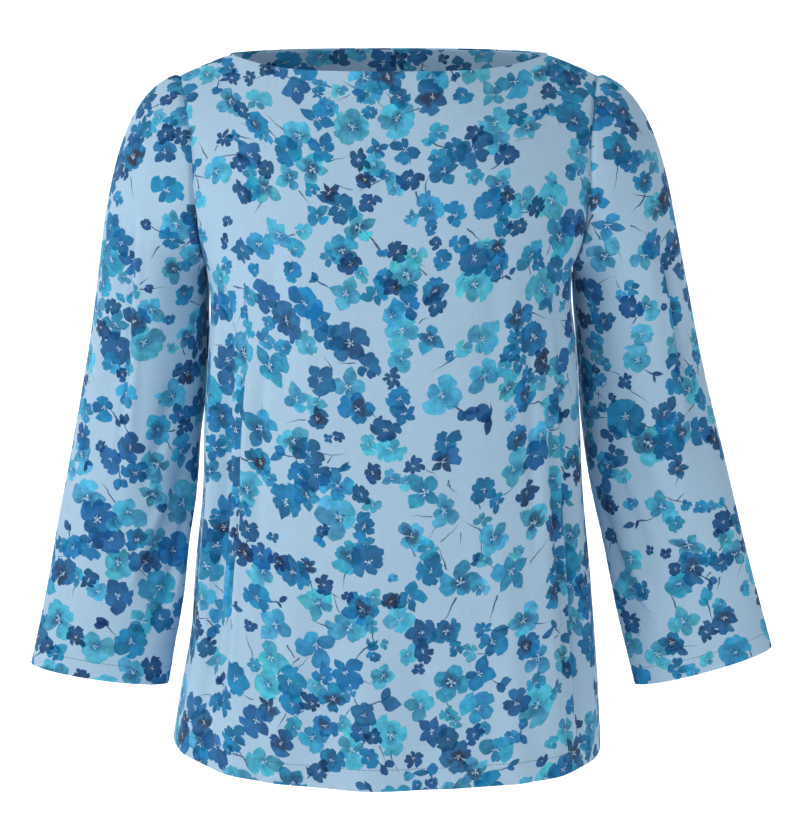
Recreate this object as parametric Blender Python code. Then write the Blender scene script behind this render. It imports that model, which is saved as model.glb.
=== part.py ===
# Boat-neck blouse with three-quarter sleeves, in the hollow form it has when worn.
# Metres, +Z up, the front faces -Y. The origin is midway between the two neck points,
# where the shoulder seams meet the neckline. Left and right are as seen from the front.
import math
from collections import namedtuple

import bmesh
import bpy
import numpy as np

# Cloth and seams
WALL = 0.0015
FACING_WALL = 0.0010
SEAM_GAP = 0.0003
TURN_UP = 0.0008
TURN_UP_STEP = 0.0015
HEM_DEPTH = 0.020
CUFF_DEPTH = 0.017

# Neckline and shoulders
NECK_HALF_WIDTH = 0.141
NECK_CURVE = 3.9
NECK_PLAN = 0.85
SHOULDER_HALF_WIDTH = 0.185
SHOULDER_DROP = 0.018
SHOULDER_CURVE = 1.15
NECK_BLEND = 0.60
CHEST_CURVE = 2.6
CLOSING_START = 0.50

# Body
UNDERARM_DROP = 0.185
CHEST_DROP = 0.200
HEM_DROP = 0.636
HEM_DROP_LEFT = 0.621
HEM_DROP_RIGHT = 0.630
SIDE_DENSITY = 0.35
GIRTH_PER_RADIAN = 0.15
FOLD_FADE = 0.35
SEAM_CALM = 0.16
MITRE_LIMIT = math.radians(35)
SHARP_EDGE = math.radians(40)

# Mesh density
SHOULDER_COLUMNS = 9
NECK_COLUMNS = 16
ARMHOLE_ROWS = 12
BODY_ROWS = 12
CAP_ROWS = 7
ARM_ROWS = 13
FACING_ROWS = 2

# Armhole seam from the shoulder point to the underarm: half width on each side,
# distance from the middle plane at front and back, drop below the neck points
Armhole = namedtuple("Armhole", "left right front back drop")
ARMHOLE = [
    Armhole(left=0.1850, right=0.1850, front=0.000, back=0.000, drop=0.018),
    Armhole(left=0.1790, right=0.1800, front=0.028, back=0.026, drop=0.045),
    Armhole(left=0.1715, right=0.1760, front=0.050, back=0.047, drop=0.085),
    Armhole(left=0.1700, right=0.1755, front=0.058, back=0.055, drop=0.120),
    Armhole(left=0.1670, right=0.1720, front=0.048, back=0.047, drop=0.151),
    Armhole(left=0.1640, right=0.1665, front=0.026, back=0.026, drop=0.175),
    Armhole(left=0.1625, right=0.1630, front=0.000, back=0.000, drop=0.185),
]

# Half widths at the side seams, by drop
Side = namedtuple("Side", "drop left right")
SIDES = [
    Side(drop=0.185, left=0.1625, right=0.1630),
    Side(drop=0.215, left=0.1590, right=0.1625),
    Side(drop=0.255, left=0.1610, right=0.1670),
    Side(drop=0.320, left=0.1660, right=0.1710),
    Side(drop=0.390, left=0.1685, right=0.1750),
    Side(drop=0.460, left=0.1760, right=0.1820),
    Side(drop=0.525, left=0.1815, right=0.1875),
    Side(drop=0.575, left=0.1910, right=0.1915),
    Side(drop=0.642, left=0.2020, right=0.1950),
]

# Centre lines: distance in front of and behind the middle plane, by drop
Centre = namedtuple("Centre", "drop out")
CENTRE_FRONT = [
    Centre(drop=0.0148, out=0.065),
    Centre(drop=0.050, out=0.082),
    Centre(drop=0.100, out=0.101),
    Centre(drop=0.160, out=0.116),
    Centre(drop=0.220, out=0.124),
    Centre(drop=0.280, out=0.125),
    Centre(drop=0.360, out=0.121),
    Centre(drop=0.460, out=0.122),
    Centre(drop=0.560, out=0.127),
    Centre(drop=0.636, out=0.131),
]
CENTRE_BACK = [
    Centre(drop=-0.0035, out=0.060),
    Centre(drop=0.030, out=0.079),
    Centre(drop=0.080, out=0.098),
    Centre(drop=0.150, out=0.110),
    Centre(drop=0.230, out=0.108),
    Centre(drop=0.340, out=0.100),
    Centre(drop=0.450, out=0.106),
    Centre(drop=0.550, out=0.117),
    Centre(drop=0.636, out=0.126),
]

# Soft folds of a body panel: place across as a share of the half width, at the top and
# the bottom of the fold, its drop at both ends, its half width and its height
Fold = namedtuple("Fold", "across_top across_bottom top bottom width height")
FRONT_FOLDS = [
    Fold(across_top=-0.85, across_bottom=-0.83, top=0.140, bottom=0.660, width=0.014, height=-0.0085),
    Fold(across_top=-0.94, across_bottom=-0.93, top=0.170, bottom=0.680, width=0.012, height=0.0050),
    Fold(across_top=-0.72, across_bottom=-0.70, top=0.240, bottom=0.800, width=0.018, height=0.0045),
    Fold(across_top=0.92, across_bottom=0.89, top=0.150, bottom=0.670, width=0.015, height=-0.0085),
    Fold(across_top=0.80, across_bottom=0.76, top=0.220, bottom=0.780, width=0.020, height=0.0045),
    Fold(across_top=-0.30, across_bottom=-0.38, top=0.380, bottom=0.880, width=0.034, height=-0.0050),
    Fold(across_top=0.34, across_bottom=0.42, top=0.360, bottom=0.900, width=0.036, height=-0.0050),
]
BACK_FOLDS = [
    Fold(across_top=-0.90, across_bottom=-0.86, top=0.140, bottom=0.800, width=0.015, height=-0.0080),
    Fold(across_top=-0.62, across_bottom=-0.58, top=0.200, bottom=0.860, width=0.024, height=0.0055),
    Fold(across_top=-0.26, across_bottom=-0.32, top=0.260, bottom=0.880, width=0.028, height=-0.0065),
    Fold(across_top=0.20, across_bottom=0.26, top=0.280, bottom=0.900, width=0.030, height=-0.0060),
    Fold(across_top=0.60, across_bottom=0.64, top=0.220, bottom=0.840, width=0.024, height=0.0055),
    Fold(across_top=0.91, across_bottom=0.88, top=0.150, bottom=0.760, width=0.014, height=-0.0075),
]

# Arm sections, seen from the front: the outer and the inner edge of the sleeve,
# its distance behind the middle plane and its half depth
Arm = namedtuple("Arm", "outer outer_drop inner inner_drop behind half_depth")
ARM_LEFT = [
    Arm(outer=0.2590, outer_drop=0.179, inner=0.1650, inner_drop=0.1975, behind=0.012, half_depth=0.052),
    Arm(outer=0.2645, outer_drop=0.2145, inner=0.1665, inner_drop=0.232, behind=0.018, half_depth=0.053),
    Arm(outer=0.2715, outer_drop=0.258, inner=0.1675, inner_drop=0.274, behind=0.022, half_depth=0.050),
    Arm(outer=0.2815, outer_drop=0.311, inner=0.1720, inner_drop=0.326, behind=0.022, half_depth=0.047),
    Arm(outer=0.2935, outer_drop=0.373, inner=0.1790, inner_drop=0.388, behind=0.018, half_depth=0.043),
    Arm(outer=0.3035, outer_drop=0.425, inner=0.1860, inner_drop=0.440, behind=0.011, half_depth=0.038),
    Arm(outer=0.3140, outer_drop=0.484, inner=0.1900, inner_drop=0.500, behind=0.005, half_depth=0.033),
    Arm(outer=0.3250, outer_drop=0.534, inner=0.2000, inner_drop=0.551, behind=0.001, half_depth=0.029),
    Arm(outer=0.3300, outer_drop=0.5555, inner=0.2040, inner_drop=0.574, behind=0.000, half_depth=0.027),
]
ARM_RIGHT = [
    Arm(outer=0.2635, outer_drop=0.179, inner=0.1665, inner_drop=0.1975, behind=0.012, half_depth=0.052),
    Arm(outer=0.2712, outer_drop=0.213, inner=0.1700, inner_drop=0.232, behind=0.019, half_depth=0.053),
    Arm(outer=0.2810, outer_drop=0.259, inner=0.1740, inner_drop=0.277, behind=0.024, half_depth=0.050),
    Arm(outer=0.2930, outer_drop=0.311, inner=0.1775, inner_drop=0.330, behind=0.024, half_depth=0.047),
    Arm(outer=0.3080, outer_drop=0.370, inner=0.1845, inner_drop=0.390, behind=0.019, half_depth=0.043),
    Arm(outer=0.3215, outer_drop=0.424, inner=0.1965, inner_drop=0.444, behind=0.012, half_depth=0.038),
    Arm(outer=0.3360, outer_drop=0.481, inner=0.2090, inner_drop=0.503, behind=0.005, half_depth=0.033),
    Arm(outer=0.3480, outer_drop=0.525, inner=0.2215, inner_drop=0.553, behind=0.001, half_depth=0.029),
    Arm(outer=0.3520, outer_drop=0.540, inner=0.2270, inner_drop=0.575, behind=0.000, half_depth=0.027),
]

# Sleeve cap: how far each end of its curve reaches on, as a share of the distance, how its
# rows crowd at the armhole, and how the cloth leaves the armhole at the top and below
CAP_LIFT = 0.90
CAP_FALL = 1.10
CAP_SPACING = 1.3
CAP_FORWARD = 0.15
CAP_CALM = 0.30
ARM_RADIUS = 0.05
CAP_SLOPE_TOP = 0.25
CAP_SLOPE_UNDERARM = 2.0

# Soft folds of a sleeve: place round the arm in degrees, 0 outside, 90 in front and 180
# inside, at both ends, then the ends along the arm as shares, the half width and the height
SleeveFold = namedtuple("SleeveFold", "round_top round_bottom top bottom width height")
FOLDS_LEFT = [
    SleeveFold(round_top=60, round_bottom=66, top=-0.45, bottom=0.55, width=0.013, height=-0.0060),
    SleeveFold(round_top=96, round_bottom=92, top=-0.30, bottom=0.60, width=0.018, height=0.0040),
    SleeveFold(round_top=160, round_bottom=112, top=0.36, bottom=0.82, width=0.014, height=-0.0070),
    SleeveFold(round_top=188, round_bottom=140, top=0.38, bottom=0.95, width=0.014, height=0.0040),
    SleeveFold(round_top=240, round_bottom=262, top=0.00, bottom=0.80, width=0.016, height=-0.0060),
    SleeveFold(round_top=302, round_bottom=296, top=-0.40, bottom=0.60, width=0.016, height=-0.0055),
]
FOLDS_RIGHT = [
    SleeveFold(round_top=42, round_bottom=54, top=-0.40, bottom=0.66, width=0.013, height=-0.0060),
    SleeveFold(round_top=70, round_bottom=78, top=-0.20, bottom=0.60, width=0.018, height=0.0040),
    SleeveFold(round_top=118, round_bottom=84, top=0.36, bottom=0.88, width=0.015, height=-0.0060),
    SleeveFold(round_top=168, round_bottom=132, top=0.42, bottom=0.95, width=0.014, height=-0.0050),
    SleeveFold(round_top=250, round_bottom=238, top=0.05, bottom=0.85, width=0.016, height=-0.0060),
    SleeveFold(round_top=310, round_bottom=302, top=-0.35, bottom=0.60, width=0.016, height=-0.0055),
]

# What makes the front and the back: which way it faces, its centre line, the height of its
# neckline over the neck points in the middle, the roundness of its sections, its folds
Panel = namedtuple("Panel", "name facing armhole centre neck_rise roundness folds")
FRONT = Panel("front", -1, "front", CENTRE_FRONT, -0.0148, 2.5, FRONT_FOLDS)
BACK = Panel("back", 1, "back", CENTRE_BACK, 0.0035, 2.3, BACK_FOLDS)

# What makes a sleeve: the side it is on, its sections and its folds
Sleeve = namedtuple("Sleeve", "name side side_name arm folds")
SLEEVE_LEFT = Sleeve("sleeve_left", -1, "left", ARM_LEFT, FOLDS_LEFT)
SLEEVE_RIGHT = Sleeve("sleeve_right", 1, "right", ARM_RIGHT, FOLDS_RIGHT)

CLOTH_COLOUR = (0.36, 0.55, 0.76, 1.0)
FACING_COLOUR = (0.30, 0.46, 0.66, 1.0)
CLOTH_ROUGHNESS = 0.85


def clear_scene():
    for thing in list(bpy.data.objects):
        bpy.data.objects.remove(thing, do_unlink=True)


def unit(vectors):
    return vectors / np.maximum(np.linalg.norm(vectors, axis=-1, keepdims=True), 1e-12)


def ease(share):
    share = np.clip(share, 0.0, 1.0)
    return share * share * (3 - 2 * share)


def through(keys, values, at):
    """A smooth curve through the values, read at the given keys."""
    keys = np.asarray(keys, float)
    values = np.asarray(values, float)
    slopes = np.gradient(values, keys)
    at = np.clip(at, keys[0], keys[-1])
    low = np.clip(np.searchsorted(keys, at, side="right") - 1, 0, len(keys) - 2)
    span = keys[low + 1] - keys[low]
    t = (at - keys[low]) / span
    start = (1 + 2 * t) * (1 - t) ** 2 * values[low] + t * (1 - t) ** 2 * span * slopes[low]
    end = t * t * (3 - 2 * t) * values[low + 1] + t * t * (t - 1) * span * slopes[low + 1]
    return start + end


def column(table, key, name, at):
    return through([getattr(row, key) for row in table], [getattr(row, name) for row in table], at)


def armhole_shares():
    """Distance along the armhole seam to each row of its table, as a share of the whole."""
    places = [np.array([row.right, row.front, row.drop]) for row in ARMHOLE]
    steps = [np.linalg.norm(b - a) for a, b in zip(places, places[1:])]
    return np.concatenate([[0.0], np.cumsum(steps)]) / sum(steps)


def armhole(name, share):
    return through(armhole_shares(), [getattr(row, name) for row in ARMHOLE], share)


def panel_edge(panel, down):
    """Half width left and right, distance out and drop of a panel's side edges, by row."""
    on_arm = np.minimum(down, 1.0)
    below = np.maximum(down - 1.0, 0.0)
    edge = {"out": np.where(down < 1.0, armhole(panel.armhole, on_arm), 0.0)}
    for side, hem in (("left", HEM_DROP_LEFT), ("right", HEM_DROP_RIGHT)):
        drop = UNDERARM_DROP + (hem - UNDERARM_DROP) * below
        edge[side] = np.where(down < 1.0, armhole(side, on_arm), column(SIDES, "drop", side, drop))
        edge["drop_" + side] = np.where(down < 1.0, armhole("drop", on_arm), drop)
    return edge


def centre_drop(panel, down):
    neck = -panel.neck_rise
    upper = neck + (CHEST_DROP - neck) * np.minimum(down, 1.0)
    return upper + (HEM_DROP - CHEST_DROP) * np.maximum(down - 1.0, 0.0)


def across_angle(across):
    """Angle round the section, denser towards the side seams."""
    return math.pi / 2 * (across + SIDE_DENSITY * np.sin(math.pi * across) / math.pi)


def section_shape(panel, share, down):
    """How far forward the cloth is between its side edge, 0, and its centre line, 1."""
    x = np.abs(share) * SHOULDER_HALF_WIDTH / NECK_HALF_WIDTH
    cut = np.maximum(1 - x**2, 0.0) ** NECK_PLAN
    lower = ease((down - CLOSING_START) / (1 - CLOSING_START))
    power = CHEST_CURVE + (panel.roundness - CHEST_CURVE) * lower
    closing = 1 + (1 / panel.roundness - 1) * lower
    body = np.maximum(1 - np.abs(share) ** power, 0.0) ** closing
    top = np.maximum(1 - down / NECK_BLEND, 0.0) ** 2
    return body + (cut - body) * top


def section_drop(panel, share, down):
    """Drop of the cloth below the neck points, with the neckline and shoulders at the top."""
    edge = panel_edge(panel, down)
    middle = centre_drop(panel, down)
    side = np.where(share < 0, edge["drop_left"], edge["drop_right"])
    flat = -panel.neck_rise + (SHOULDER_DROP + panel.neck_rise) * share**2
    top = np.maximum(1 - down / NECK_BLEND, 0.0) ** 2
    return middle + (side - middle) * share**2 + top * (top_drop(panel, share) - flat)


def top_drop(panel, share):
    """Drop along the shoulder seams and the neckline."""
    x = np.abs(share) * SHOULDER_HALF_WIDTH
    inside = np.minimum(x / NECK_HALF_WIDTH, 1.0)
    outside = np.maximum(x - NECK_HALF_WIDTH, 0.0) / (SHOULDER_HALF_WIDTH - NECK_HALF_WIDTH)
    return SHOULDER_DROP * outside**SHOULDER_CURVE - panel.neck_rise * (1 - inside**NECK_CURVE)


def section(panel, angle, down):
    """Smooth cloth of a panel with no folds."""
    edge = panel_edge(panel, down)
    share = np.sin(angle)
    out_middle = column(panel.centre, "drop", "out", centre_drop(panel, down))
    half = np.where(share < 0, edge["left"], edge["right"])
    out = edge["out"] + (out_middle - edge["out"]) * section_shape(panel, share, down)
    return np.stack([share * half, panel.facing * out, -section_drop(panel, share, down)], axis=-1)


def fold_height(panel, angle, drop):
    height = np.zeros(np.broadcast(angle, drop).shape)
    for fold in panel.folds:
        run = np.clip((drop - fold.top) / (fold.bottom - fold.top), 0.0, 1.0)
        place = np.arcsin(fold.across_top + (fold.across_bottom - fold.across_top) * run)
        fade = ease(run / FOLD_FADE) * ease((1 - run) / FOLD_FADE)
        away = (angle - place) * GIRTH_PER_RADIAN / fold.width
        height += fold.height * fade * np.exp(-(away**2))
    return height * ease((math.pi / 2 - np.abs(angle)) / SEAM_CALM)


def outward(points, facing):
    across = np.gradient(points, axis=1)
    down = np.gradient(points, axis=0)
    return unit(np.cross(across, down)) * facing


def panel_cloth(panel, across, down):
    """Mid-surface of a panel as rows of points, and its outward directions."""
    angle = across_angle(across)[None, :]
    rows = down[:, None]
    points = section(panel, angle, rows)
    height = fold_height(panel, angle, -points[:, :, 2])
    points = points + outward(points, panel.facing) * height[:, :, None]
    return points, outward(points, panel.facing)


def arm_rings(sleeve, share, rounds):
    """Rings of a sleeve along the arm, share 0 at its first section and 1 at the cuff."""
    keys = [(row.outer_drop + row.inner_drop) / 2 for row in sleeve.arm]
    at = keys[0] + (keys[-1] - keys[0]) * share
    read = {name: through(keys, [getattr(row, name) for row in sleeve.arm], at) for name in Arm._fields}
    nought = np.zeros_like(at)
    outer = np.stack([sleeve.side * read["outer"], nought, -read["outer_drop"]], axis=-1)
    inner = np.stack([sleeve.side * read["inner"], nought, -read["inner_drop"]], axis=-1)
    middle = (outer + inner) / 2
    middle[..., 1] = read["behind"]
    reach = (outer - inner) / 2
    depth = np.stack([nought, -read["half_depth"], nought], axis=-1)
    turn = rounds[None, :, None]
    return middle[:, None, :] + reach[:, None, :] * np.cos(turn) + depth[:, None, :] * np.sin(turn)


def armhole_ring(sleeve, count):
    """The armhole seam as a closed ring: shoulder point, front, underarm, back."""
    share = np.linspace(0.0, 1.0, count // 2 + 1)
    half = armhole(sleeve.side_name, share) * sleeve.side
    drop = armhole("drop", share)
    front = np.stack([half, -armhole("front", share), -drop], axis=-1)
    back = np.stack([half, armhole("back", share), -drop], axis=-1)
    return np.concatenate([front, back[-2:0:-1]])


def cap_shares(cap_rows):
    """Places down the cap from the armhole, 0, towards the arm, 1, closer at the armhole."""
    return (np.arange(cap_rows) / cap_rows) ** CAP_SPACING


def sleeve_cloth(sleeve, count, cap_rows, arm_shares):
    """Mid-surface of a sleeve as rings of points, and its outward directions."""
    rounds = np.linspace(0.0, 2 * math.pi, count, endpoint=False)
    ring = armhole_ring(sleeve, count)
    arm = arm_rings(sleeve, arm_shares, rounds)
    reach = np.linalg.norm(arm[0] - ring, axis=-1, keepdims=True)
    low = (1 - np.cos(rounds)) / 2
    slope = CAP_SLOPE_TOP + (CAP_SLOPE_UNDERARM - CAP_SLOPE_TOP) * low**3
    forward = -CAP_FORWARD * np.sin(rounds)
    leave = unit(np.stack([np.full(count, float(sleeve.side)), forward, -slope], axis=-1))
    arrive = unit(arm[1] - arm[0])
    t = cap_shares(cap_rows)[:, None, None]
    cap = (1 + 2 * t) * (1 - t) ** 2 * ring + t * (1 - t) ** 2 * leave * reach * CAP_LIFT
    cap = cap + t * t * (3 - 2 * t) * arm[0] + t * t * (t - 1) * arrive * reach * CAP_FALL
    points = np.concatenate([cap, arm])
    along = np.concatenate([t[:, 0, 0] - 1.0, arm_shares])
    height = sleeve_fold_height(sleeve, rounds[None, :], along[:, None])
    points = points + sleeve_outward(points, sleeve.side) * height[:, :, None]
    return points, sleeve_outward(points, sleeve.side)


def sleeve_outward(points, side):
    around = np.roll(points, -1, axis=1) - np.roll(points, 1, axis=1)
    along = np.gradient(points, axis=0)
    return unit(np.cross(around, along)) * side


def sleeve_fold_height(sleeve, rounds, along):
    height = np.zeros(np.broadcast(rounds, along).shape)
    for fold in sleeve.folds:
        run = np.clip((along - fold.top) / (fold.bottom - fold.top), 0.0, 1.0)
        place = np.radians(fold.round_top + (fold.round_bottom - fold.round_top) * run)
        fade = ease(run / FOLD_FADE) * ease((1 - run) / FOLD_FADE)
        turn = (rounds - place + math.pi) % (2 * math.pi) - math.pi
        height += fold.height * fade * np.exp(-((turn * ARM_RADIUS / fold.width) ** 2))
    return height * ease((along + 1.0) / CAP_CALM)


class Cloth:
    """One piece: mid-surface points, outward directions, and half walls on each side."""

    def __init__(self, name, points, out, closed_round=False):
        self.name = name
        self.points = points
        self.out = out
        self.outer = np.full(points.shape[:2], WALL / 2)
        self.inner = np.full(points.shape[:2], WALL / 2)
        self.closed_round = closed_round

    def skins(self):
        outside = self.points + self.out * self.outer[:, :, None]
        inside = self.points - self.out * self.inner[:, :, None]
        return outside, inside


def set_edge(cloth, row, col, seam, out, away, spare):
    """Moves one edge point off its seam and sets the direction of its wall."""
    cloth.points[row, col] = seam + away * (SEAM_GAP / 2 + spare)
    cloth.out[row, col] = out


def mitred(own, shared, away):
    """Turns a wall towards the seam's shared plane, as far as the limit, and says how far
    its end must step back to stay on its own side of that plane."""
    angle = math.acos(float(np.clip(np.dot(own, shared), -1.0, 1.0)))
    turned = min(angle, MITRE_LIMIT)
    side = unit(own - shared * np.dot(own, shared)) if angle > 1e-6 else away
    rest = angle - turned
    out = shared * math.cos(rest) + side * math.sin(rest)
    return unit(out), math.sin(rest) * WALL / 2


def join_shoulders_and_sides(front, back, neck_left, neck_right):
    """Front and back share their walls' directions along the shoulder and side seams."""
    last = front.points.shape[1] - 1
    top = [(0, col) for col in range(last + 1) if col <= neck_left or col >= neck_right]
    sides = [(row, col) for row in range(ARMHOLE_ROWS, len(front.points)) for col in (0, last)]
    for row, col in top + sides:
        shared = front.out[row, col] + back.out[row, col]
        shared[1] = 0.0
        shared = unit(shared)
        seam = (front.points[row, col] + back.points[row, col]) / 2
        seam[1] = 0.0
        for cloth, facing in ((front, -1), (back, 1)):
            set_edge(cloth, row, col, seam, shared, np.array([0.0, facing, 0.0]), 0.0)


def join_sleeve(front, back, sleeve_piece, side):
    """Sets the panels' armhole edges and the sleeve's first ring a seam gap apart."""
    count = sleeve_piece.points.shape[1]
    last = front.points.shape[1] - 1
    col = 0 if side < 0 else last
    ring = sleeve_piece.points[0].copy()
    own_out = sleeve_piece.out[0].copy()
    for i in range(count):
        tangent = unit(ring[(i + 1) % count] - ring[i - 1])
        row = i if i <= count // 2 else count - i
        panels = (front,) if 0 < i < count // 2 else (back,)
        if i in (0, count // 2):
            panels = (front, back)
        panel_out = unit(sum(panel.out[row, col] for panel in panels))
        into_sleeve = unit(sleeve_piece.points[1, i] - ring[i])
        into_sleeve = unit(into_sleeve - tangent * np.dot(into_sleeve, tangent))
        inner = (row, 1 if side < 0 else last - 1) if i != count // 2 else (row + 1, col)
        inward = unit(panels[0].points[inner] - ring[i])
        inward = unit(inward - tangent * np.dot(inward, tangent))
        away = unit(into_sleeve - inward)
        shared = unit(np.cross(tangent, away))
        shared = shared * np.sign(np.dot(shared, panel_out + own_out[i]) or 1.0)
        out, spare = mitred(unit(own_out[i] - tangent * np.dot(own_out[i], tangent)), shared, away)
        set_edge(sleeve_piece, 0, i, ring[i], out, away, spare)
        fade = (1 - cap_shares(CAP_ROWS)[1:, None]) ** 2
        sleeve_piece.points[1:CAP_ROWS, i] += fade * (sleeve_piece.points[0, i] - ring[i])
        for panel in panels:
            flat = unit(panel_out - tangent * np.dot(panel_out, tangent))
            out, spare = mitred(flat, shared, -away)
            shift = 0.0 if len(panels) == 1 else SEAM_GAP / 2
            place = ring[i] + np.array([0.0, shift * (-1 if panel is front else 1), 0.0])
            set_edge(panel, row, col, place, out, -away, spare)


def shell_mesh(cloth):
    """A closed mesh between the outer and the inner skin of a piece."""
    outside, inside = cloth.skins()
    rows, cols = outside.shape[:2]
    mesh = bpy.data.meshes.new(cloth.name)
    work = bmesh.new()
    skins = [[[work.verts.new(point) for point in row] for row in skin] for skin in (outside, inside)]
    wrap = cols if cloth.closed_round else cols - 1
    for row in range(rows - 1):
        for col in range(wrap):
            after = (col + 1) % cols
            for skin in skins:
                work.faces.new((skin[row][col], skin[row][after], skin[row + 1][after], skin[row + 1][col]))
    for row in (0, rows - 1):
        for col in range(wrap):
            after = (col + 1) % cols
            edge = (skins[0][row][col], skins[1][row][col], skins[1][row][after], skins[0][row][after])
            work.faces.new(edge)
    if not cloth.closed_round:
        for col in (0, cols - 1):
            for row in range(rows - 1):
                work.faces.new(
                    (skins[0][row][col], skins[0][row + 1][col], skins[1][row + 1][col], skins[1][row][col])
                )
    bmesh.ops.recalc_face_normals(work, faces=work.faces)
    work.to_mesh(mesh)
    work.free()
    mesh.shade_smooth()
    mesh.set_sharp_from_angle(angle=SHARP_EDGE)
    return mesh


def cloth_material(name, colour):
    material = bpy.data.materials.new(name)
    material.use_nodes = True
    shader = material.node_tree.nodes["Principled BSDF"]
    shader.inputs["Base Color"].default_value = colour
    shader.inputs["Roughness"].default_value = CLOTH_ROUGHNESS
    shader.inputs["Metallic"].default_value = 0.0
    material.diffuse_color = colour
    return material


def add_piece(cloth, colour):
    piece = bpy.data.objects.new(cloth.name, shell_mesh(cloth))
    piece.data.materials.append(cloth_material(cloth.name + "_cloth", colour))
    bpy.context.scene.collection.objects.link(piece)
    return piece


def panel_columns():
    """Places across a panel from -1 to 1, with one column on each neck point."""
    wanted = math.asin(NECK_HALF_WIDTH / SHOULDER_HALF_WIDTH)
    fine = np.linspace(0.0, 1.0, 2001)
    neck = float(np.interp(wanted, across_angle(fine), fine))
    shoulder = np.linspace(neck, 1.0, SHOULDER_COLUMNS + 1)[1:]
    return np.concatenate([-shoulder[::-1], np.linspace(-neck, neck, NECK_COLUMNS + 1), shoulder])


def panel_rows():
    """Places down a panel: 0 at the top, 1 at the underarm, 2 at the hem."""
    body = HEM_DROP - CHEST_DROP
    turn = 2.0 - HEM_DEPTH / body
    step = turn - TURN_UP_STEP / body
    upper = np.linspace(0.0, 1.0, ARMHOLE_ROWS + 1)
    lower = np.linspace(1.0, step, BODY_ROWS + 1)[1:]
    return np.concatenate([upper, lower, [turn, 2.0]])


def arm_row_shares(sleeve):
    length = sleeve.arm[-1].inner_drop - sleeve.arm[0].inner_drop
    turn = 1.0 - CUFF_DEPTH / length
    step = turn - TURN_UP_STEP / length
    return np.concatenate([np.linspace(0.0, step, ARM_ROWS + 1), [turn, 1.0]])


def make_panel(panel):
    points, out = panel_cloth(panel, panel_columns(), panel_rows())
    cloth = Cloth(panel.name, points, out)
    cloth.inner[-2:] += TURN_UP
    return cloth


def make_sleeve(sleeve):
    points, out = sleeve_cloth(sleeve, 2 * ARMHOLE_ROWS, CAP_ROWS, arm_row_shares(sleeve))
    cloth = Cloth(sleeve.name, points, out, closed_round=True)
    cloth.inner[-2:] += TURN_UP
    return cloth


def make_facing(back, neck_left, neck_right):
    """The back's own points along the neckline, moved inside it."""
    rows = slice(0, FACING_ROWS + 1)
    cols = slice(neck_left, neck_right + 1)
    inside = WALL / 2 + SEAM_GAP + FACING_WALL / 2
    points = back.points[rows, cols] - back.out[rows, cols] * inside
    cloth = Cloth("back_neck_facing", points, back.out[rows, cols].copy())
    cloth.outer[:] = FACING_WALL / 2
    cloth.inner[:] = FACING_WALL / 2
    return cloth


def main():
    clear_scene()
    neck_left = SHOULDER_COLUMNS
    neck_right = SHOULDER_COLUMNS + NECK_COLUMNS
    front = make_panel(FRONT)
    back = make_panel(BACK)
    join_shoulders_and_sides(front, back, neck_left, neck_right)
    sleeves = []
    for sleeve in (SLEEVE_LEFT, SLEEVE_RIGHT):
        piece = make_sleeve(sleeve)
        join_sleeve(front, back, piece, sleeve.side)
        sleeves.append(piece)
    for cloth in (front, back, *sleeves):
        add_piece(cloth, CLOTH_COLOUR)
    add_piece(make_facing(back, neck_left, neck_right), FACING_COLOUR)


main()
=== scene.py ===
import math

import bmesh
import bpy
import numpy as np
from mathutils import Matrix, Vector, noise


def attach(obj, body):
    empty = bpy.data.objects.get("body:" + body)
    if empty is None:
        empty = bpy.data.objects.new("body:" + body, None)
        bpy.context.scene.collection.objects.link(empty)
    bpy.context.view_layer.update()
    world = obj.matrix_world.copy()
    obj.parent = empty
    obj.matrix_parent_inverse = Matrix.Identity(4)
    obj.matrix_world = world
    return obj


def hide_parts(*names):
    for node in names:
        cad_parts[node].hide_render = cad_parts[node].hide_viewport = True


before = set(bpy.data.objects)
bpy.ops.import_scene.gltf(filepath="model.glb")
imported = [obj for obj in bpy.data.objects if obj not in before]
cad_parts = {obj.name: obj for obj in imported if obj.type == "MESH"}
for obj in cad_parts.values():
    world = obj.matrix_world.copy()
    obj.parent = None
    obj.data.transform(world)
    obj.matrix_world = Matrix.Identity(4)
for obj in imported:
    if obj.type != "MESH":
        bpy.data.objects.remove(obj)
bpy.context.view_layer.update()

# Metres, +Z up, the front faces -Y. The origin is midway between the two neck points.
# Left and right are as seen from the front. The forms are the same functions and sizes as
# the solids have, read on a finer grid, with the smaller creases, hems and seams added.

cloth = {
    "wall": 0.0004,          # thickness of the woven cotton
    "seamGap": 0.00012,      # between two pieces at a seam
    "solidWall": 0.0015,     # wall of the solids, which the outer skin keeps to
    "hemDepth": 0.020,
    "cuffDepth": 0.017,
    "hemStitch": 0.0188,
    "cuffStitch": 0.0160,
    "seamDip": 0.0022,       # how far an edge sinks into its seam
    "seamDipWidth": 0.0024,
}

neck = {
    "halfWidth": 0.141,
    "curve": 3.9,
    "plan": 0.85,
    "shoulderHalfWidth": 0.185,
    "shoulderDrop": 0.018,
    "shoulderCurve": 1.15,
    "blend": 0.60,
    "chestCurve": 2.6,
    "closingStart": 0.50,
    "calm": 0.15,            # no ripples close to the neckline
}

body = {
    "underarmDrop": 0.185,
    "chestDrop": 0.200,
    "hemDrop": 0.636,
    "hemDropLeft": 0.621,
    "hemDropRight": 0.630,
    "sideDensity": 0.35,
    "girthPerRadian": 0.15,
    "foldFade": 0.35,
    "seamCalm": 0.16,
    "mitreLimit": math.radians(35),
}

# Rows and columns of the fine grids
grid = {
    "shoulderColumns": 26,
    "neckColumns": 116,
    "edgeColumns": (0.0014, 0.0036, 0.0070, 0.0115),   # beside each side edge
    "topRows": (0.004, 0.010, 0.018),                  # below the neckline
    "armholeRows": 64,
    "bodyRows": 146,
    "capRows": 54,
    "armRows": 130,
    "facingDown": 0.17,
    "searchSteps": 4001,                               # to find the neck point's column
}

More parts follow.
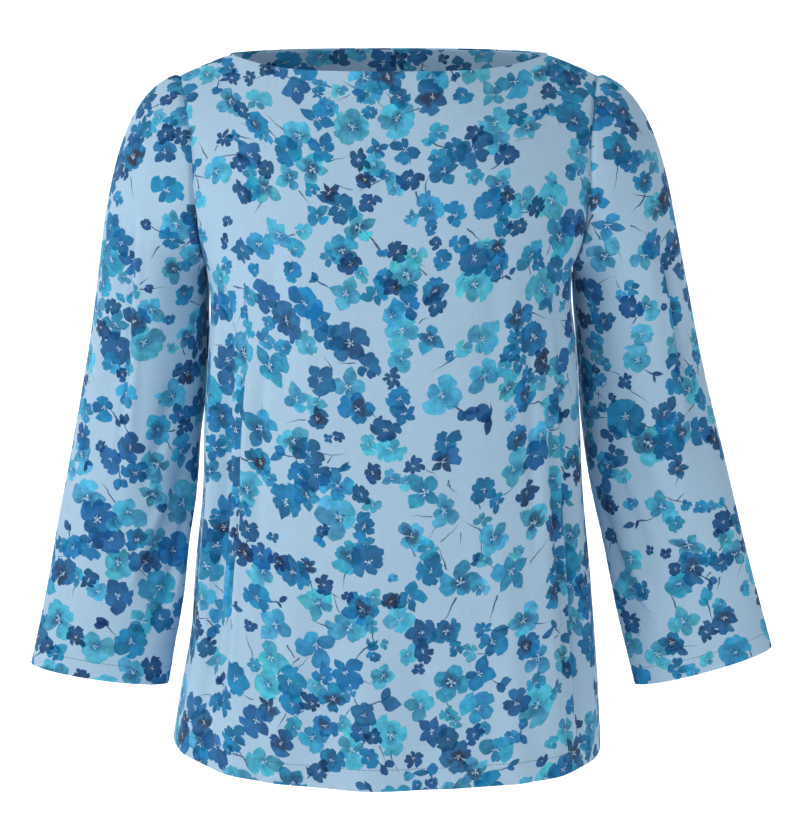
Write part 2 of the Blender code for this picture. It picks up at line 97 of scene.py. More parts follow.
# Armhole seam from the shoulder point to the underarm: half width on each side,
# distance from the middle plane at front and back, drop below the neck points
armholeSeam = {
    "left": [0.1850, 0.1790, 0.1715, 0.1700, 0.1670, 0.1640, 0.1625],
    "right": [0.1850, 0.1800, 0.1760, 0.1755, 0.1720, 0.1665, 0.1630],
    "front": [0.000, 0.028, 0.050, 0.058, 0.048, 0.026, 0.000],
    "back": [0.000, 0.026, 0.047, 0.055, 0.047, 0.026, 0.000],
    "drop": [0.018, 0.045, 0.085, 0.120, 0.151, 0.175, 0.185],
}

# Half widths at the side seams, by drop
sideSeam = {
    "drop": [0.185, 0.215, 0.255, 0.320, 0.390, 0.460, 0.525, 0.575, 0.642],
    "left": [0.1625, 0.1590, 0.1610, 0.1660, 0.1685, 0.1760, 0.1815, 0.1910, 0.2020],
    "right": [0.1630, 0.1625, 0.1670, 0.1710, 0.1750, 0.1820, 0.1875, 0.1915, 0.1950],
}


def rowsOf(columns, rows):
    names = columns.split()
    return [dict(zip(names, row)) for row in rows]


# Folds and creases of a body panel: place across as a share of the half width, at the top
# and the bottom, drop at both ends, half width and height
panelFoldColumns = "acrossTop acrossBottom top bottom width height"

frontPanel = {
    "name": "front",
    "facing": -1,
    "armhole": "front",
    "neckRise": -0.0148,
    "roundness": 2.5,
    "centre": {
        "drop": [0.0148, 0.050, 0.100, 0.160, 0.220, 0.280, 0.360, 0.460, 0.560, 0.636],
        "out": [0.065, 0.082, 0.101, 0.116, 0.124, 0.125, 0.121, 0.122, 0.127, 0.131],
    },
    "folds": rowsOf(panelFoldColumns, [
        (-0.85, -0.83, 0.140, 0.660, 0.014, -0.0085),
        (-0.94, -0.93, 0.170, 0.680, 0.012, 0.0050),
        (-0.72, -0.70, 0.240, 0.800, 0.018, 0.0045),
        (0.92, 0.89, 0.150, 0.670, 0.015, -0.0085),
        (0.80, 0.76, 0.220, 0.780, 0.020, 0.0045),
        (-0.30, -0.38, 0.380, 0.880, 0.034, -0.0050),
        (0.34, 0.42, 0.360, 0.900, 0.036, -0.0050),
    ]),
    "creases": rowsOf(panelFoldColumns, [
        (-0.785, -0.805, 0.165, 0.620, 0.0044, -0.0062),
        (-0.835, -0.840, 0.175, 0.600, 0.0042, 0.0036),
        (-0.885, -0.875, 0.180, 0.650, 0.0044, -0.0060),
        (-0.930, -0.915, 0.190, 0.600, 0.0042, 0.0034),
        (-0.735, -0.760, 0.210, 0.640, 0.0052, 0.0036),
        (-0.66, -0.68, 0.205, 0.470, 0.0062, -0.0036),
        (-0.62, -0.55, 0.120, 0.330, 0.0110, -0.0022),
        (0.865, 0.850, 0.180, 0.600, 0.0044, 0.0036),
        (0.825, 0.815, 0.220, 0.660, 0.0044, -0.0058),
        (0.905, 0.885, 0.200, 0.640, 0.0044, -0.0056),
        (0.74, 0.71, 0.170, 0.460, 0.0066, -0.0036),
        (0.60, 0.52, 0.110, 0.310, 0.0120, -0.0022),
        (-0.46, -0.50, 0.400, 0.700, 0.0130, 0.0032),
        (-0.12, -0.10, 0.450, 0.780, 0.0150, 0.0028),
        (0.14, 0.18, 0.420, 0.760, 0.0140, -0.0030),
        (0.55, 0.60, 0.380, 0.720, 0.0120, 0.0028),
    ]),
    "seed": 3.0,
}

backPanel = {
    "name": "back",
    "facing": 1,
    "armhole": "back",
    "neckRise": 0.0035,
    "roundness": 2.3,
    "centre": {
        "drop": [-0.0035, 0.030, 0.080, 0.150, 0.230, 0.340, 0.450, 0.550, 0.636],
        "out": [0.060, 0.079, 0.098, 0.110, 0.108, 0.100, 0.106, 0.117, 0.126],
    },
    "folds": rowsOf(panelFoldColumns, [
        (-0.90, -0.86, 0.140, 0.800, 0.015, -0.0080),
        (-0.62, -0.58, 0.200, 0.860, 0.024, 0.0055),
        (-0.26, -0.32, 0.260, 0.880, 0.028, -0.0065),
        (0.20, 0.26, 0.280, 0.900, 0.030, -0.0060),
        (0.60, 0.64, 0.220, 0.840, 0.024, 0.0055),
        (0.91, 0.88, 0.150, 0.760, 0.014, -0.0075),
    ]),
    "creases": rowsOf(panelFoldColumns, [
        (-0.82, -0.80, 0.200, 0.560, 0.0065, 0.0032),
        (-0.74, -0.72, 0.160, 0.380, 0.0080, -0.0024),
        (-0.50, -0.44, 0.110, 0.330, 0.0130, -0.0022),
        (-0.42, -0.45, 0.300, 0.640, 0.0110, 0.0029),
        (-0.05, 0.00, 0.230, 0.560, 0.0150, 0.0030),
        (0.10, 0.08, 0.400, 0.720, 0.0110, -0.0026),
        (0.42, 0.46, 0.320, 0.690, 0.0120, 0.0029),
        (0.52, 0.45, 0.110, 0.320, 0.0130, -0.0021),
        (0.76, 0.74, 0.190, 0.450, 0.0080, -0.0026),
        (0.84, 0.82, 0.260, 0.600, 0.0060, 0.0032),
    ]),
    "seed": 17.0,
}

# Arm sections, seen from the front: the outer and the inner edge of the sleeve,
# its distance behind the middle plane and its half depth
armColumns = "outer outerDrop inner innerDrop behind halfDepth"

# Folds and creases of a sleeve: place round the arm in degrees, 0 outside, 90 in front and
# 180 inside, at both ends, the ends along the arm as shares, the half width and the height
sleeveFoldColumns = "roundTop roundBottom top bottom width height"

sleeveLeft = {
    "name": "sleeve_left",
    "side": -1,
    "sideName": "left",
    "arm": rowsOf(armColumns, [
        (0.2590, 0.179, 0.1650, 0.1975, 0.012, 0.052),
        (0.2645, 0.2145, 0.1665, 0.232, 0.018, 0.053),
        (0.2715, 0.258, 0.1675, 0.274, 0.022, 0.050),
        (0.2815, 0.311, 0.1720, 0.326, 0.022, 0.047),
        (0.2935, 0.373, 0.1790, 0.388, 0.018, 0.043),
        (0.3035, 0.425, 0.1860, 0.440, 0.011, 0.038),
        (0.3140, 0.484, 0.1900, 0.500, 0.005, 0.033),
        (0.3250, 0.534, 0.2000, 0.551, 0.001, 0.029),
        (0.3300, 0.5555, 0.2040, 0.574, 0.000, 0.027),
    ]),
    "folds": rowsOf(sleeveFoldColumns, [
        (60, 66, -0.45, 0.55, 0.013, -0.0060),
        (96, 92, -0.30, 0.60, 0.018, 0.0040),
        (160, 112, 0.36, 0.82, 0.014, -0.0070),
        (188, 140, 0.38, 0.95, 0.014, 0.0040),
        (240, 262, 0.00, 0.80, 0.016, -0.0060),
        (302, 296, -0.40, 0.60, 0.016, -0.0055),
    ]),
    "creases": rowsOf(sleeveFoldColumns, [
        (72, 90, -0.35, 0.62, 0.0046, 0.0044),
        (64, 82, -0.40, 0.60, 0.0038, -0.0046),
        (200, 200, -0.15, 0.45, 0.0120, 0.0034),
        (128, 104, 0.20, 0.56, 0.0056, -0.0052),
        (140, 100, 0.46, 0.80, 0.0056, 0.0044),
        (166, 126, 0.54, 0.90, 0.0058, -0.0052),
        (40, 36, 0.10, 0.50, 0.0090, 0.0024),
        (28, 44, 0.45, 0.86, 0.0100, -0.0024),
        (214, 226, 0.05, 0.60, 0.0080, 0.0031),
        (276, 284, 0.20, 0.72, 0.0090, 0.0029),
        (320, 330, 0.00, 0.45, 0.0090, -0.0026),
    ]),
    "seed": 31.0,
}

sleeveRight = {
    "name": "sleeve_right",
    "side": 1,
    "sideName": "right",
    "arm": rowsOf(armColumns, [
        (0.2635, 0.179, 0.1665, 0.1975, 0.012, 0.052),
        (0.2712, 0.213, 0.1700, 0.232, 0.019, 0.053),
        (0.2810, 0.259, 0.1740, 0.277, 0.024, 0.050),
        (0.2930, 0.311, 0.1775, 0.330, 0.024, 0.047),
        (0.3080, 0.370, 0.1845, 0.390, 0.019, 0.043),
        (0.3215, 0.424, 0.1965, 0.444, 0.012, 0.038),
        (0.3360, 0.481, 0.2090, 0.503, 0.005, 0.033),
        (0.3480, 0.525, 0.2215, 0.553, 0.001, 0.029),
        (0.3520, 0.540, 0.2270, 0.575, 0.000, 0.027),
    ]),
    "folds": rowsOf(sleeveFoldColumns, [
        (42, 54, -0.40, 0.66, 0.013, -0.0060),
        (70, 78, -0.20, 0.60, 0.018, 0.0040),
        (118, 84, 0.36, 0.88, 0.015, -0.0060),
        (168, 132, 0.42, 0.95, 0.014, -0.0050),
        (250, 238, 0.05, 0.85, 0.016, -0.0060),
        (310, 302, -0.35, 0.60, 0.016, -0.0055),
    ]),
    "creases": rowsOf(sleeveFoldColumns, [
        (56, 60, -0.10, 0.50, 0.0046, 0.0042),
        (48, 53, -0.14, 0.46, 0.0040, -0.0038),
        (200, 202, -0.15, 0.55, 0.0120, 0.0036),
        (104, 92, 0.20, 0.58, 0.0056, 0.0042),
        (134, 106, 0.44, 0.82, 0.0058, -0.0054),
        (150, 116, 0.56, 0.90, 0.0056, 0.0042),
        (30, 22, 0.05, 0.48, 0.0090, -0.0024),
        (20, 34, 0.48, 0.90, 0.0100, 0.0026),
        (204, 216, 0.08, 0.62, 0.0080, -0.0031),
        (270, 262, 0.25, 0.75, 0.0090, 0.0029),
        (330, 322, 0.02, 0.50, 0.0090, 0.0024),
    ]),
    "seed": 47.0,
}

cap = {
    "lift": 0.90,
    "fall": 1.10,
    "spacing": 1.3,
    "forward": 0.15,
    "calm": 0.30,
    "armRadius": 0.05,
    "slopeTop": 0.25,
    "slopeUnderarm": 2.0,
    "arrival": 1 / 13,       # share of the arm that gives the direction the cap meets
}


def unit(vectors):
    return vectors / np.maximum(np.linalg.norm(vectors, axis=-1, keepdims=True), 1e-12)


def ease(share):
    share = np.clip(share, 0.0, 1.0)
    return share * share * (3 - 2 * share)


def through(keys, values, at):     # a smooth curve through the values
    keys = np.asarray(keys, float)
    values = np.asarray(values, float)
    slopes = np.gradient(values, keys)
    at = np.clip(at, keys[0], keys[-1])
    low = np.clip(np.searchsorted(keys, at, side="right") - 1, 0, len(keys) - 2)
    span = keys[low + 1] - keys[low]
    t = (at - keys[low]) / span
    start = (1 + 2 * t) * (1 - t) ** 2 * values[low] + t * (1 - t) ** 2 * span * slopes[low]
    end = t * t * (3 - 2 * t) * values[low + 1] + t * t * (t - 1) * span * slopes[low + 1]
    return start + end


def armholeShares():
    places = np.stack([armholeSeam["right"], armholeSeam["front"], armholeSeam["drop"]], axis=-1)
    steps = np.linalg.norm(np.diff(places, axis=0), axis=1)
    return np.concatenate([[0.0], np.cumsum(steps)]) / steps.sum()


def armhole(name, share):
    return through(armholeShares(), armholeSeam[name], share)


def panelEdge(panel, down):
    onArm = np.minimum(down, 1.0)
    below = np.maximum(down - 1.0, 0.0)
    edge = {"out": np.where(down < 1.0, armhole(panel["armhole"], onArm), 0.0)}
    for side, hem in (("left", body["hemDropLeft"]), ("right", body["hemDropRight"])):
        drop = body["underarmDrop"] + (hem - body["underarmDrop"]) * below
        onSide = through(sideSeam["drop"], sideSeam[side], drop)
        edge[side] = np.where(down < 1.0, armhole(side, onArm), onSide)
        edge[side + "Drop"] = np.where(down < 1.0, armhole("drop", onArm), drop)
    return edge


def centreDrop(panel, down):
    top = -panel["neckRise"]
    upper = top + (body["chestDrop"] - top) * np.minimum(down, 1.0)
    return upper + (body["hemDrop"] - body["chestDrop"]) * np.maximum(down - 1.0, 0.0)


def acrossAngle(across):           # denser towards the side seams
    return math.pi / 2 * (across + body["sideDensity"] * np.sin(math.pi * across) / math.pi)


def sectionShape(panel, share, down):
    x = np.abs(share) * neck["shoulderHalfWidth"] / neck["halfWidth"]
    cut = np.maximum(1 - x**2, 0.0) ** neck["plan"]
    lower = ease((down - neck["closingStart"]) / (1 - neck["closingStart"]))
    power = neck["chestCurve"] + (panel["roundness"] - neck["chestCurve"]) * lower
    closing = 1 + (1 / panel["roundness"] - 1) * lower
    full = np.maximum(1 - np.abs(share) ** power, 0.0) ** closing
    top = np.maximum(1 - down / neck["blend"], 0.0) ** 2
    return full + (cut - full) * top


def topDrop(panel, share):         # along the shoulder seams and the neckline
    x = np.abs(share) * neck["shoulderHalfWidth"]
    inside = np.minimum(x / neck["halfWidth"], 1.0)
    shoulder = neck["shoulderHalfWidth"] - neck["halfWidth"]
    outside = np.maximum(x - neck["halfWidth"], 0.0) / shoulder
    fall = neck["shoulderDrop"] * outside ** neck["shoulderCurve"]
    return fall - panel["neckRise"] * (1 - inside ** neck["curve"])


def sectionDrop(panel, share, down):
    edge = panelEdge(panel, down)
    middle = centreDrop(panel, down)
    side = np.where(share < 0, edge["leftDrop"], edge["rightDrop"])
    flat = -panel["neckRise"] + (neck["shoulderDrop"] + panel["neckRise"]) * share**2
    top = np.maximum(1 - down / neck["blend"], 0.0) ** 2
    return middle + (side - middle) * share**2 + top * (topDrop(panel, share) - flat)


def section(panel, angle, down):
    edge = panelEdge(panel, down)
    share = np.sin(angle)
    middle = through(panel["centre"]["drop"], panel["centre"]["out"], centreDrop(panel, down))
    half = np.where(share < 0, edge["left"], edge["right"])
    out = edge["out"] + (middle - edge["out"]) * sectionShape(panel, share, down)
    return np.stack([share * half, panel["facing"] * out, -sectionDrop(panel, share, down)], axis=-1)


def foldFade(run):
    return ease(run / body["foldFade"]) * ease((1 - run) / body["foldFade"])


def foldHeight(form, at, awayFrom):
    # all folds and creases of a form, each of which runs out at both its ends
    height = 0.0
    for fold in form["folds"] + form["creases"]:
        run = np.clip((at - fold["top"]) / (fold["bottom"] - fold["top"]), 0.0, 1.0)
        shape = np.exp(-((awayFrom(fold, run) / fold["width"]) ** 2))
        height = height + fold["height"] * foldFade(run) * shape
    return height


def panelFoldHeight(panel, angle, drop):
    def awayFrom(fold, run):
        place = np.arcsin(fold["acrossTop"] + (fold["acrossBottom"] - fold["acrossTop"]) * run)
        return (angle - place) * body["girthPerRadian"]

    return foldHeight(panel, drop, awayFrom) * ease((math.pi / 2 - np.abs(angle)) / body["seamCalm"])


def outward(points, facing):
    across = np.gradient(points, axis=1)
    down = np.gradient(points, axis=0)
    return unit(np.cross(across, down)) * facing


def armRings(sleeve, share, rounds):
    rows = sleeve["arm"]
    keys = [(row["outerDrop"] + row["innerDrop"]) / 2 for row in rows]
    at = keys[0] + (keys[-1] - keys[0]) * share
    read = {name: through(keys, [row[name] for row in rows], at) for name in armColumns.split()}
    nought = np.zeros_like(at)
    outer = np.stack([sleeve["side"] * read["outer"], nought, -read["outerDrop"]], axis=-1)
    inner = np.stack([sleeve["side"] * read["inner"], nought, -read["innerDrop"]], axis=-1)
    middle = (outer + inner) / 2
    middle[..., 1] = read["behind"]
    reach = (outer - inner) / 2
    depth = np.stack([nought, -read["halfDepth"], nought], axis=-1)
    turn = rounds[None, :, None]
    return middle[:, None, :] + reach[:, None, :] * np.cos(turn) + depth[:, None, :] * np.sin(turn)


def armholeRing(sleeve, shares):   # shoulder point, front, underarm, back
    half = armhole(sleeve["sideName"], shares) * sleeve["side"]
    drop = armhole("drop", shares)
    front = np.stack([half, -armhole("front", shares), -drop], axis=-1)
    back = np.stack([half, armhole("back", shares), -drop], axis=-1)
    return np.concatenate([front, back[-2:0:-1]])


def capShares(capRows):
    return (np.arange(capRows) / capRows) ** cap["spacing"]


def sleeveOutward(points, side):
    around = np.roll(points, -1, axis=1) - np.roll(points, 1, axis=1)
    along = np.gradient(points, axis=0)
    return unit(np.cross(around, along)) * side


def sleeveFoldHeight(sleeve, rounds, along):
    def awayFrom(fold, run):
        place = np.radians(fold["roundTop"] + (fold["roundBottom"] - fold["roundTop"]) * run)
        return ((rounds - place + math.pi) % (2 * math.pi) - math.pi) * cap["armRadius"]

    return foldHeight(sleeve, along, awayFrom) * ease((along + 1.0) / cap["calm"])


# Small unevenness that no crease accounts for: two sizes of soft ripple
ripple = {
    "wideLength": 0.075,
    "wideHeight": 0.0011,
    "fineLength": 0.024,
    "fineHeight": 0.00030,
    "stretchDown": 2.2,       # ripples are longer down the cloth than across
}


def rippleHeight(points, seed):
    flat = points.reshape(-1, 3)
    height = np.zeros(len(flat))
    for size, tall in (("wideLength", "wideHeight"), ("fineLength", "fineHeight")):
        scale = 1 / ripple[size]
        for i, (x, y, z) in enumerate(flat):
            place = Vector((x * scale + seed, y * scale, z * scale / ripple["stretchDown"] - seed))
            height[i] += ripple[tall] * noise.noise(place)
    return height.reshape(points.shape[:2])


def panelCloth(panel, across, down):
    angle = acrossAngle(across)[None, :]
    rows = down[:, None]
    points = section(panel, angle, rows)
    height = panelFoldHeight(panel, angle, -points[:, :, 2])
    calm = ease((math.pi / 2 - np.abs(angle)) / body["seamCalm"]) * ease(rows / neck["calm"])
    height = height + rippleHeight(points, panel["seed"]) * calm
    points = points + outward(points, panel["facing"]) * height[:, :, None]
    return points, outward(points, panel["facing"])


def sleeveCloth(sleeve, rounds, shares, capRows, armShares):
    ring = armholeRing(sleeve, shares)
    arm = armRings(sleeve, armShares, rounds)
    reach = np.linalg.norm(arm[0] - ring, axis=-1, keepdims=True)
    low = (1 - np.cos(rounds)) / 2
    slope = cap["slopeTop"] + (cap["slopeUnderarm"] - cap["slopeTop"]) * low**3
    forward = -cap["forward"] * np.sin(rounds)
    leave = unit(np.stack([np.full(len(rounds), float(sleeve["side"])), forward, -slope], axis=-1))
    firstStep = armRings(sleeve, np.array([0.0, cap["arrival"]]), rounds)
    arrive = unit(firstStep[1] - firstStep[0])
    t = capShares(capRows)[:, None, None]
    start = (1 + 2 * t) * (1 - t) ** 2 * ring + t * (1 - t) ** 2 * leave * reach * cap["lift"]
    end = t * t * (3 - 2 * t) * arm[0] + t * t * (t - 1) * arrive * reach * cap["fall"]
    points = np.concatenate([start + end, arm])
    along = np.concatenate([t[:, 0, 0] - 1.0, armShares])
    height = sleeveFoldHeight(sleeve, rounds[None, :], along[:, None])
    height = height + rippleHeight(points, sleeve["seed"]) * ease((along + 1.0) / cap["calm"])[:, None]
    points = points + sleeveOutward(points, sleeve["side"]) * height[:, :, None]
    return points, sleeveOutward(points, sleeve["side"])


class Sheet:
    # a grid of points with their outward directions and their places on the flat cloth

    def __init__(self, name, points, out):
        self.name = name
        self.points = points
        self.out = out
        self.flat = None
        self.filled = None            # where the grid has cloth, once its edges are turned in


def setEdge(sheet, row, col, seam, out, away, spare):
    sheet.points[row, col] = seam + away * (cloth["seamGap"] / 2 + spare)
    sheet.out[row, col] = out


def mitred(own, shared, away):
    angle = math.acos(float(np.clip(np.dot(own, shared), -1.0, 1.0)))
    turned = min(angle, body["mitreLimit"])
    side = unit(own - shared * np.dot(own, shared)) if angle > 1e-6 else away
    rest = angle - turned
    out = shared * math.cos(rest) + side * math.sin(rest)
    return unit(out), math.sin(rest) * cloth["wall"] / 2


def joinShouldersAndSides(front, back, neckLeft, neckRight, armholeRow):
    last = front.points.shape[1] - 1
    top = [(0, col) for col in range(last + 1) if col <= neckLeft or col >= neckRight]
    sides = [(row, col) for row in range(armholeRow, len(front.points)) for col in (0, last)]
    for row, col in top + sides:
        shared = front.out[row, col] + back.out[row, col]
        shared[1] = 0.0
        shared = unit(shared)
        seam = (front.points[row, col] + back.points[row, col]) / 2
        seam[1] = 0.0
        for sheet, facing in ((front, -1), (back, 1)):
            setEdge(sheet, row, col, seam, shared, np.array([0.0, facing, 0.0]), 0.0)


def joinSleeve(front, back, sleeveSheet, side, capRows):
    count = sleeveSheet.points.shape[1]
    last = front.points.shape[1] - 1
    col = 0 if side < 0 else last
    ring = sleeveSheet.points[0].copy()
    ownOut = sleeveSheet.out[0].copy()
    for i in range(count):
        tangent = unit(ring[(i + 1) % count] - ring[i - 1])
        row = i if i <= count // 2 else count - i
        panels = (front,) if 0 < i < count // 2 else (back,)
        if i in (0, count // 2):
            panels = (front, back)
        panelOut = unit(sum(panel.out[row, col] for panel in panels))
        intoSleeve = unit(sleeveSheet.points[2, i] - ring[i])
        intoSleeve = unit(intoSleeve - tangent * np.dot(intoSleeve, tangent))
        inner = (row, 2 if side < 0 else last - 2) if i != count // 2 else (row + 2, col)
        inward = unit(panels[0].points[inner] - ring[i])
        inward = unit(inward - tangent * np.dot(inward, tangent))
        away = unit(intoSleeve - inward)
        shared = unit(np.cross(tangent, away))
        shared = shared * (np.sign(np.dot(shared, panelOut + ownOut[i])) or 1.0)
        out, spare = mitred(unit(ownOut[i] - tangent * np.dot(ownOut[i], tangent)), shared, away)
        setEdge(sleeveSheet, 0, i, ring[i], out, away, spare)
        fade = (1 - capShares(capRows)[1:, None]) ** 2
        sleeveSheet.points[1:capRows, i] += fade * (sleeveSheet.points[0, i] - ring[i])
        for panel in panels:
            flat = unit(panelOut - tangent * np.dot(panelOut, tangent))
            out, spare = mitred(flat, shared, -away)
            shift = 0.0 if len(panels) == 1 else cloth["seamGap"] / 2
            place = ring[i] + np.array([0.0, shift * (-1 if panel is front else 1), 0.0])
            setEdge(panel, row, col, place, out, -away, spare)


def sinkIntoSeam(sheet, distance):
    # the cloth rolls inwards where it meets its seam
    dip = cloth["seamDip"] * np.exp(-((distance / cloth["seamDipWidth"]) ** 2))
    sheet.points -= sheet.out * dip[:, :, None]


def lengthAlong(points, axis):
    steps = np.linalg.norm(np.diff(points, axis=axis), axis=2)
    start = np.zeros_like(np.take(steps, [0], axis=axis))
    return np.concatenate([start, np.cumsum(steps, axis=axis)], axis=axis)


# Turned-in edges: how far behind the edge each row lies, and how close to the cloth
turned = {
    "arcSteps": 4,
    "probe": 0.003,           # how far in the cloth is read to find the direction at its edge
    "hemRows": (0.0022, 0.0060, 0.0110, 0.0160, 0.0188, 0.0200),
    "cuffRows": (0.0020, 0.0055, 0.0100, 0.0140, 0.0160, 0.0170),
    "hemGaps": (0.0010, 0.0010, 0.0009, 0.0009, 0.0007, 0.0006, 0.0007),
    "seamRows": (0.0020, 0.0060, 0.0100),
    "seamGap": 0.0005,
    "seamBulge": 0.15,
    "neckRows": (0.0025, 0.0070, 0.0130, 0.0200),
    "neckBulge": 1.0,
    "backNeckShare": 0.15,
    "shoulderShare": 0.5,
    "neckColumns": 3,         # over which the neck's turning changes to the shoulder's
    "panelStart": 2,          # rows below the armhole, or the sleeve's head, where side seams begin
    "sleeveStart": 3,
    "stitchGap": 0.0006,      # the thread draws the layers together here
}

# Slight gathering of the cloth beside seams and stitches
pucker = {
    "length": 0.0065,
    "height": 0.00042,
    "width": 0.0065,
    "least": 0.02,            # weaker than this it is left out
    "hemPlace": 0.94,         # where the stitches draw, as a share of the turned-in depth
    "seamSeed": 5.0,
    "hemSeed": 9.0,
}

stitches = {
    "length": 0.0029,         # from one stitch to the next
    "filled": 0.80,           # share of it that the thread fills
    "thread": 0.00046,
    "lift": 0.00006,
    "jitter": 0.10,
    "seed": 4,
    "segments": 6,            # faces round a stitch and along it
    "rings": 5,
    "colour": (0.035, 0.065, 0.130, 1.0),
    "roughness": 0.6,
}

facing = {
    "gap": 0.0009,
    "turnedRows": (0.0020, 0.0045),
    "turnedGap": 0.0006,
}

# Where each piece lies on the printed cloth, so that no two show the same flowers
printShift = {
    "front": (0.0, 0.0),
    "back": (1.90, 0.35),
    "sleeve_left": (-1.30, 0.80),
    "sleeve_right": (3.20, -0.60),
    "facing": (4.70, 0.20),
}
printSeeds = {"frontPanel": 7, "backPanel": 12, "sleeveLeft": 21, "sleeveRight": 33, "backNeckFacing": 40}


def walkIn(edgeFirst, distances):
    # reads arrays, whose row 0 is the edge, at distances from that edge: (steps, columns)
    along = lengthAlong(edgeFirst[0], 0)
    result = [np.zeros(distances.shape + (values.shape[2],)) for values in edgeFirst]
    for col in range(distances.shape[1]):
        for values, read in zip(edgeFirst, result):
            for part in range(values.shape[2]):
                read[:, col, part] = np.interp(distances[:, col], along[:, col], values[:, col, part])
    return result


def turnIn(points, out, flat, distances, gaps, bulge):
    # new rows past the edge, which is row 0: round the fold, then back behind the cloth
    near = np.full((1, points.shape[1]), turned["probe"])
    inner, innerFlat = (rows[0] for rows in walkIn([points, flat], near))
    away = unit(points[0] - inner)
    away = unit(away - out[0] * (away * out[0]).sum(axis=1, keepdims=True))
    flatAway = unit(flat[0] - innerFlat)
    radius = gaps[0] / 2
    rows, outs, flats = [], [], []
    for step in range(1, turned["arcSteps"]):
        angle = math.pi * step / turned["arcSteps"]
        lift = math.cos(angle) * out[0] + math.sin(angle) * away * bulge
        rows.append(points[0] - out[0] * radius + lift * radius)
        outs.append(unit(math.cos(angle) * out[0] + math.sin(angle) * away))
        flats.append(flat[0] + flatAway * angle * radius)
    behind, behindOut, _ = walkIn([points, out, flat], distances)
    for step in range(len(distances)):
        gap = gaps[min(step, len(gaps) - 1)]
        rows.append(behind[step] - unit(behindOut[step]) * gap)
        outs.append(-unit(behindOut[step]))
        flats.append(flat[0] + flatAway * (math.pi * radius + distances[step][:, None]))
    return np.stack(rows), np.stack(outs), np.stack(flats)


def edgeFirst(values, edge):       # a view of the grid whose row 0 is the named edge
    if edge == "bottom":
        return values[::-1]
    if edge == "left":
        return values.transpose(1, 0, 2)
    if edge == "right":
        return values[:, ::-1].transpose(1, 0, 2)
    return values


def turnEdges(sheet, plans):
    # plans: edge name to (distances, gaps, bulge, first row or column, last one)
    grids = (sheet.points, sheet.out, sheet.flat)
    rows, cols = sheet.points.shape[:2]
    count = {edge: turned["arcSteps"] - 1 + len(plans[edge][0]) if edge in plans else 0
             for edge in ("top", "bottom", "left", "right")}
    whole = (rows + count["top"] + count["bottom"], cols + count["left"] + count["right"])
    own = (slice(count["top"], count["top"] + rows), slice(count["left"], count["left"] + cols))
    wider = [np.zeros(whole + (values.shape[2],)) for values in grids]
    filled = np.zeros(whole + (1,), bool)
    filled[own] = True
    for wide, values in zip(wider, grids):
        wide[own] = values
    for edge, (distances, gaps, bulge, first, last) in plans.items():
        made = turnIn(*(edgeFirst(values, edge) for values in grids), distances, gaps, bulge)
        along = own[1] if edge in ("top", "bottom") else own[0]
        for wide, new in zip(wider, made):
            edgeFirst(wide, edge)[:count[edge], along] = new[::-1]
        held = slice(along.start + first, along.start + last + 1)
        edgeFirst(filled, edge)[:count[edge], held] = True
    sheet.points, sheet.out, sheet.flat = wider
    sheet.filled = filled[:, :, 0]


def edgeDistances(values, columns):
    return np.repeat(np.array(values)[:, None], columns, axis=1)


def seamPucker(sheet, distance, seed):
    # the thread gathers the cloth a little beside a seam
    flat = sheet.points.reshape(-1, 3)
    weight = np.exp(-((distance / pucker["width"]) ** 2)).ravel()
    height = np.zeros(len(flat))
    for i in np.nonzero(weight > pucker["least"])[0]:
        height[i] = noise.noise(Vector(flat[i] / pucker["length"]) + Vector((seed, seed, seed)))
    sheet.points += sheet.out * (height * weight * pucker["height"]).reshape(distance.shape)[:, :, None]


def sheetMesh(sheet):
    # a closed mesh: printed side, reverse side and the cut edges between them
    half = cloth["wall"] / 2
    rows, cols = sheet.points.shape[:2]
    printed = (sheet.points + sheet.out * half).reshape(-1, 3)
    reverse = (sheet.points - sheet.out * half).reshape(-1, 3)
    index = np.arange(rows * cols).reshape(rows, cols)
    used = sheet.filled
    whole = used[:-1, :-1] & used[:-1, 1:] & used[1:, 1:] & used[1:, :-1]
    quads = np.stack([index[:-1, :-1], index[:-1, 1:], index[1:, 1:], index[1:, :-1]], axis=-1)[whole]
    corners = printed[quads]
    facing = np.cross(corners[:, 2] - corners[:, 0], corners[:, 3] - corners[:, 1])
    along = (facing * sheet.out.reshape(-1, 3)[quads[:, 0]]).sum(axis=1)
    if along.sum() < 0:
        quads = quads[:, ::-1]
    back = quads[:, ::-1] + rows * cols
    edges = np.concatenate([quads[:, [i, (i + 1) % 4]] for i in range(4)])
    keys = {(a, b) for a, b in edges.tolist()}
    rim = np.array([(b, a, a + rows * cols, b + rows * cols) for a, b in keys if (b, a) not in keys])
    faces = np.concatenate([quads, back, rim])
    place = np.concatenate([sheet.flat.reshape(-1, 2)] * 2)
    points = np.concatenate([printed, reverse])
    kept = np.unique(faces)
    renumber = np.full(len(points), -1)
    renumber[kept] = np.arange(len(kept))
    mesh = bpy.data.meshes.new(sheet.name)
    mesh.from_pydata(points[kept].tolist(), [], renumber[faces].tolist())
    layer = mesh.uv_layers.new(name="clothPlace")
    layer.uv.foreach_set("vector", place[faces.ravel()].astype(np.float32).ravel())
    slots = np.zeros(len(faces), np.int32)
    slots[len(quads):len(quads) + len(back)] = 1
    mesh.polygons.foreach_set("material_index", slots)
    mesh.shade_smooth()
    mesh.update()
    return mesh


def edgePath(sheet, edge, distance):
    # where the thread runs on the printed side, at a distance from the edge
    values = [edgeFirst(v, edge) for v in (sheet.points, sheet.out)]
    points, out = walkIn(values, np.full((1, values[0].shape[1]), distance))
    out = unit(out[0])
    lift = cloth["wall"] / 2 + stitches["lift"]
    back = turned["stitchGap"] + cloth["wall"] / 2 + stitches["lift"]
    return [points[0] + out * lift, points[0] - out * back]


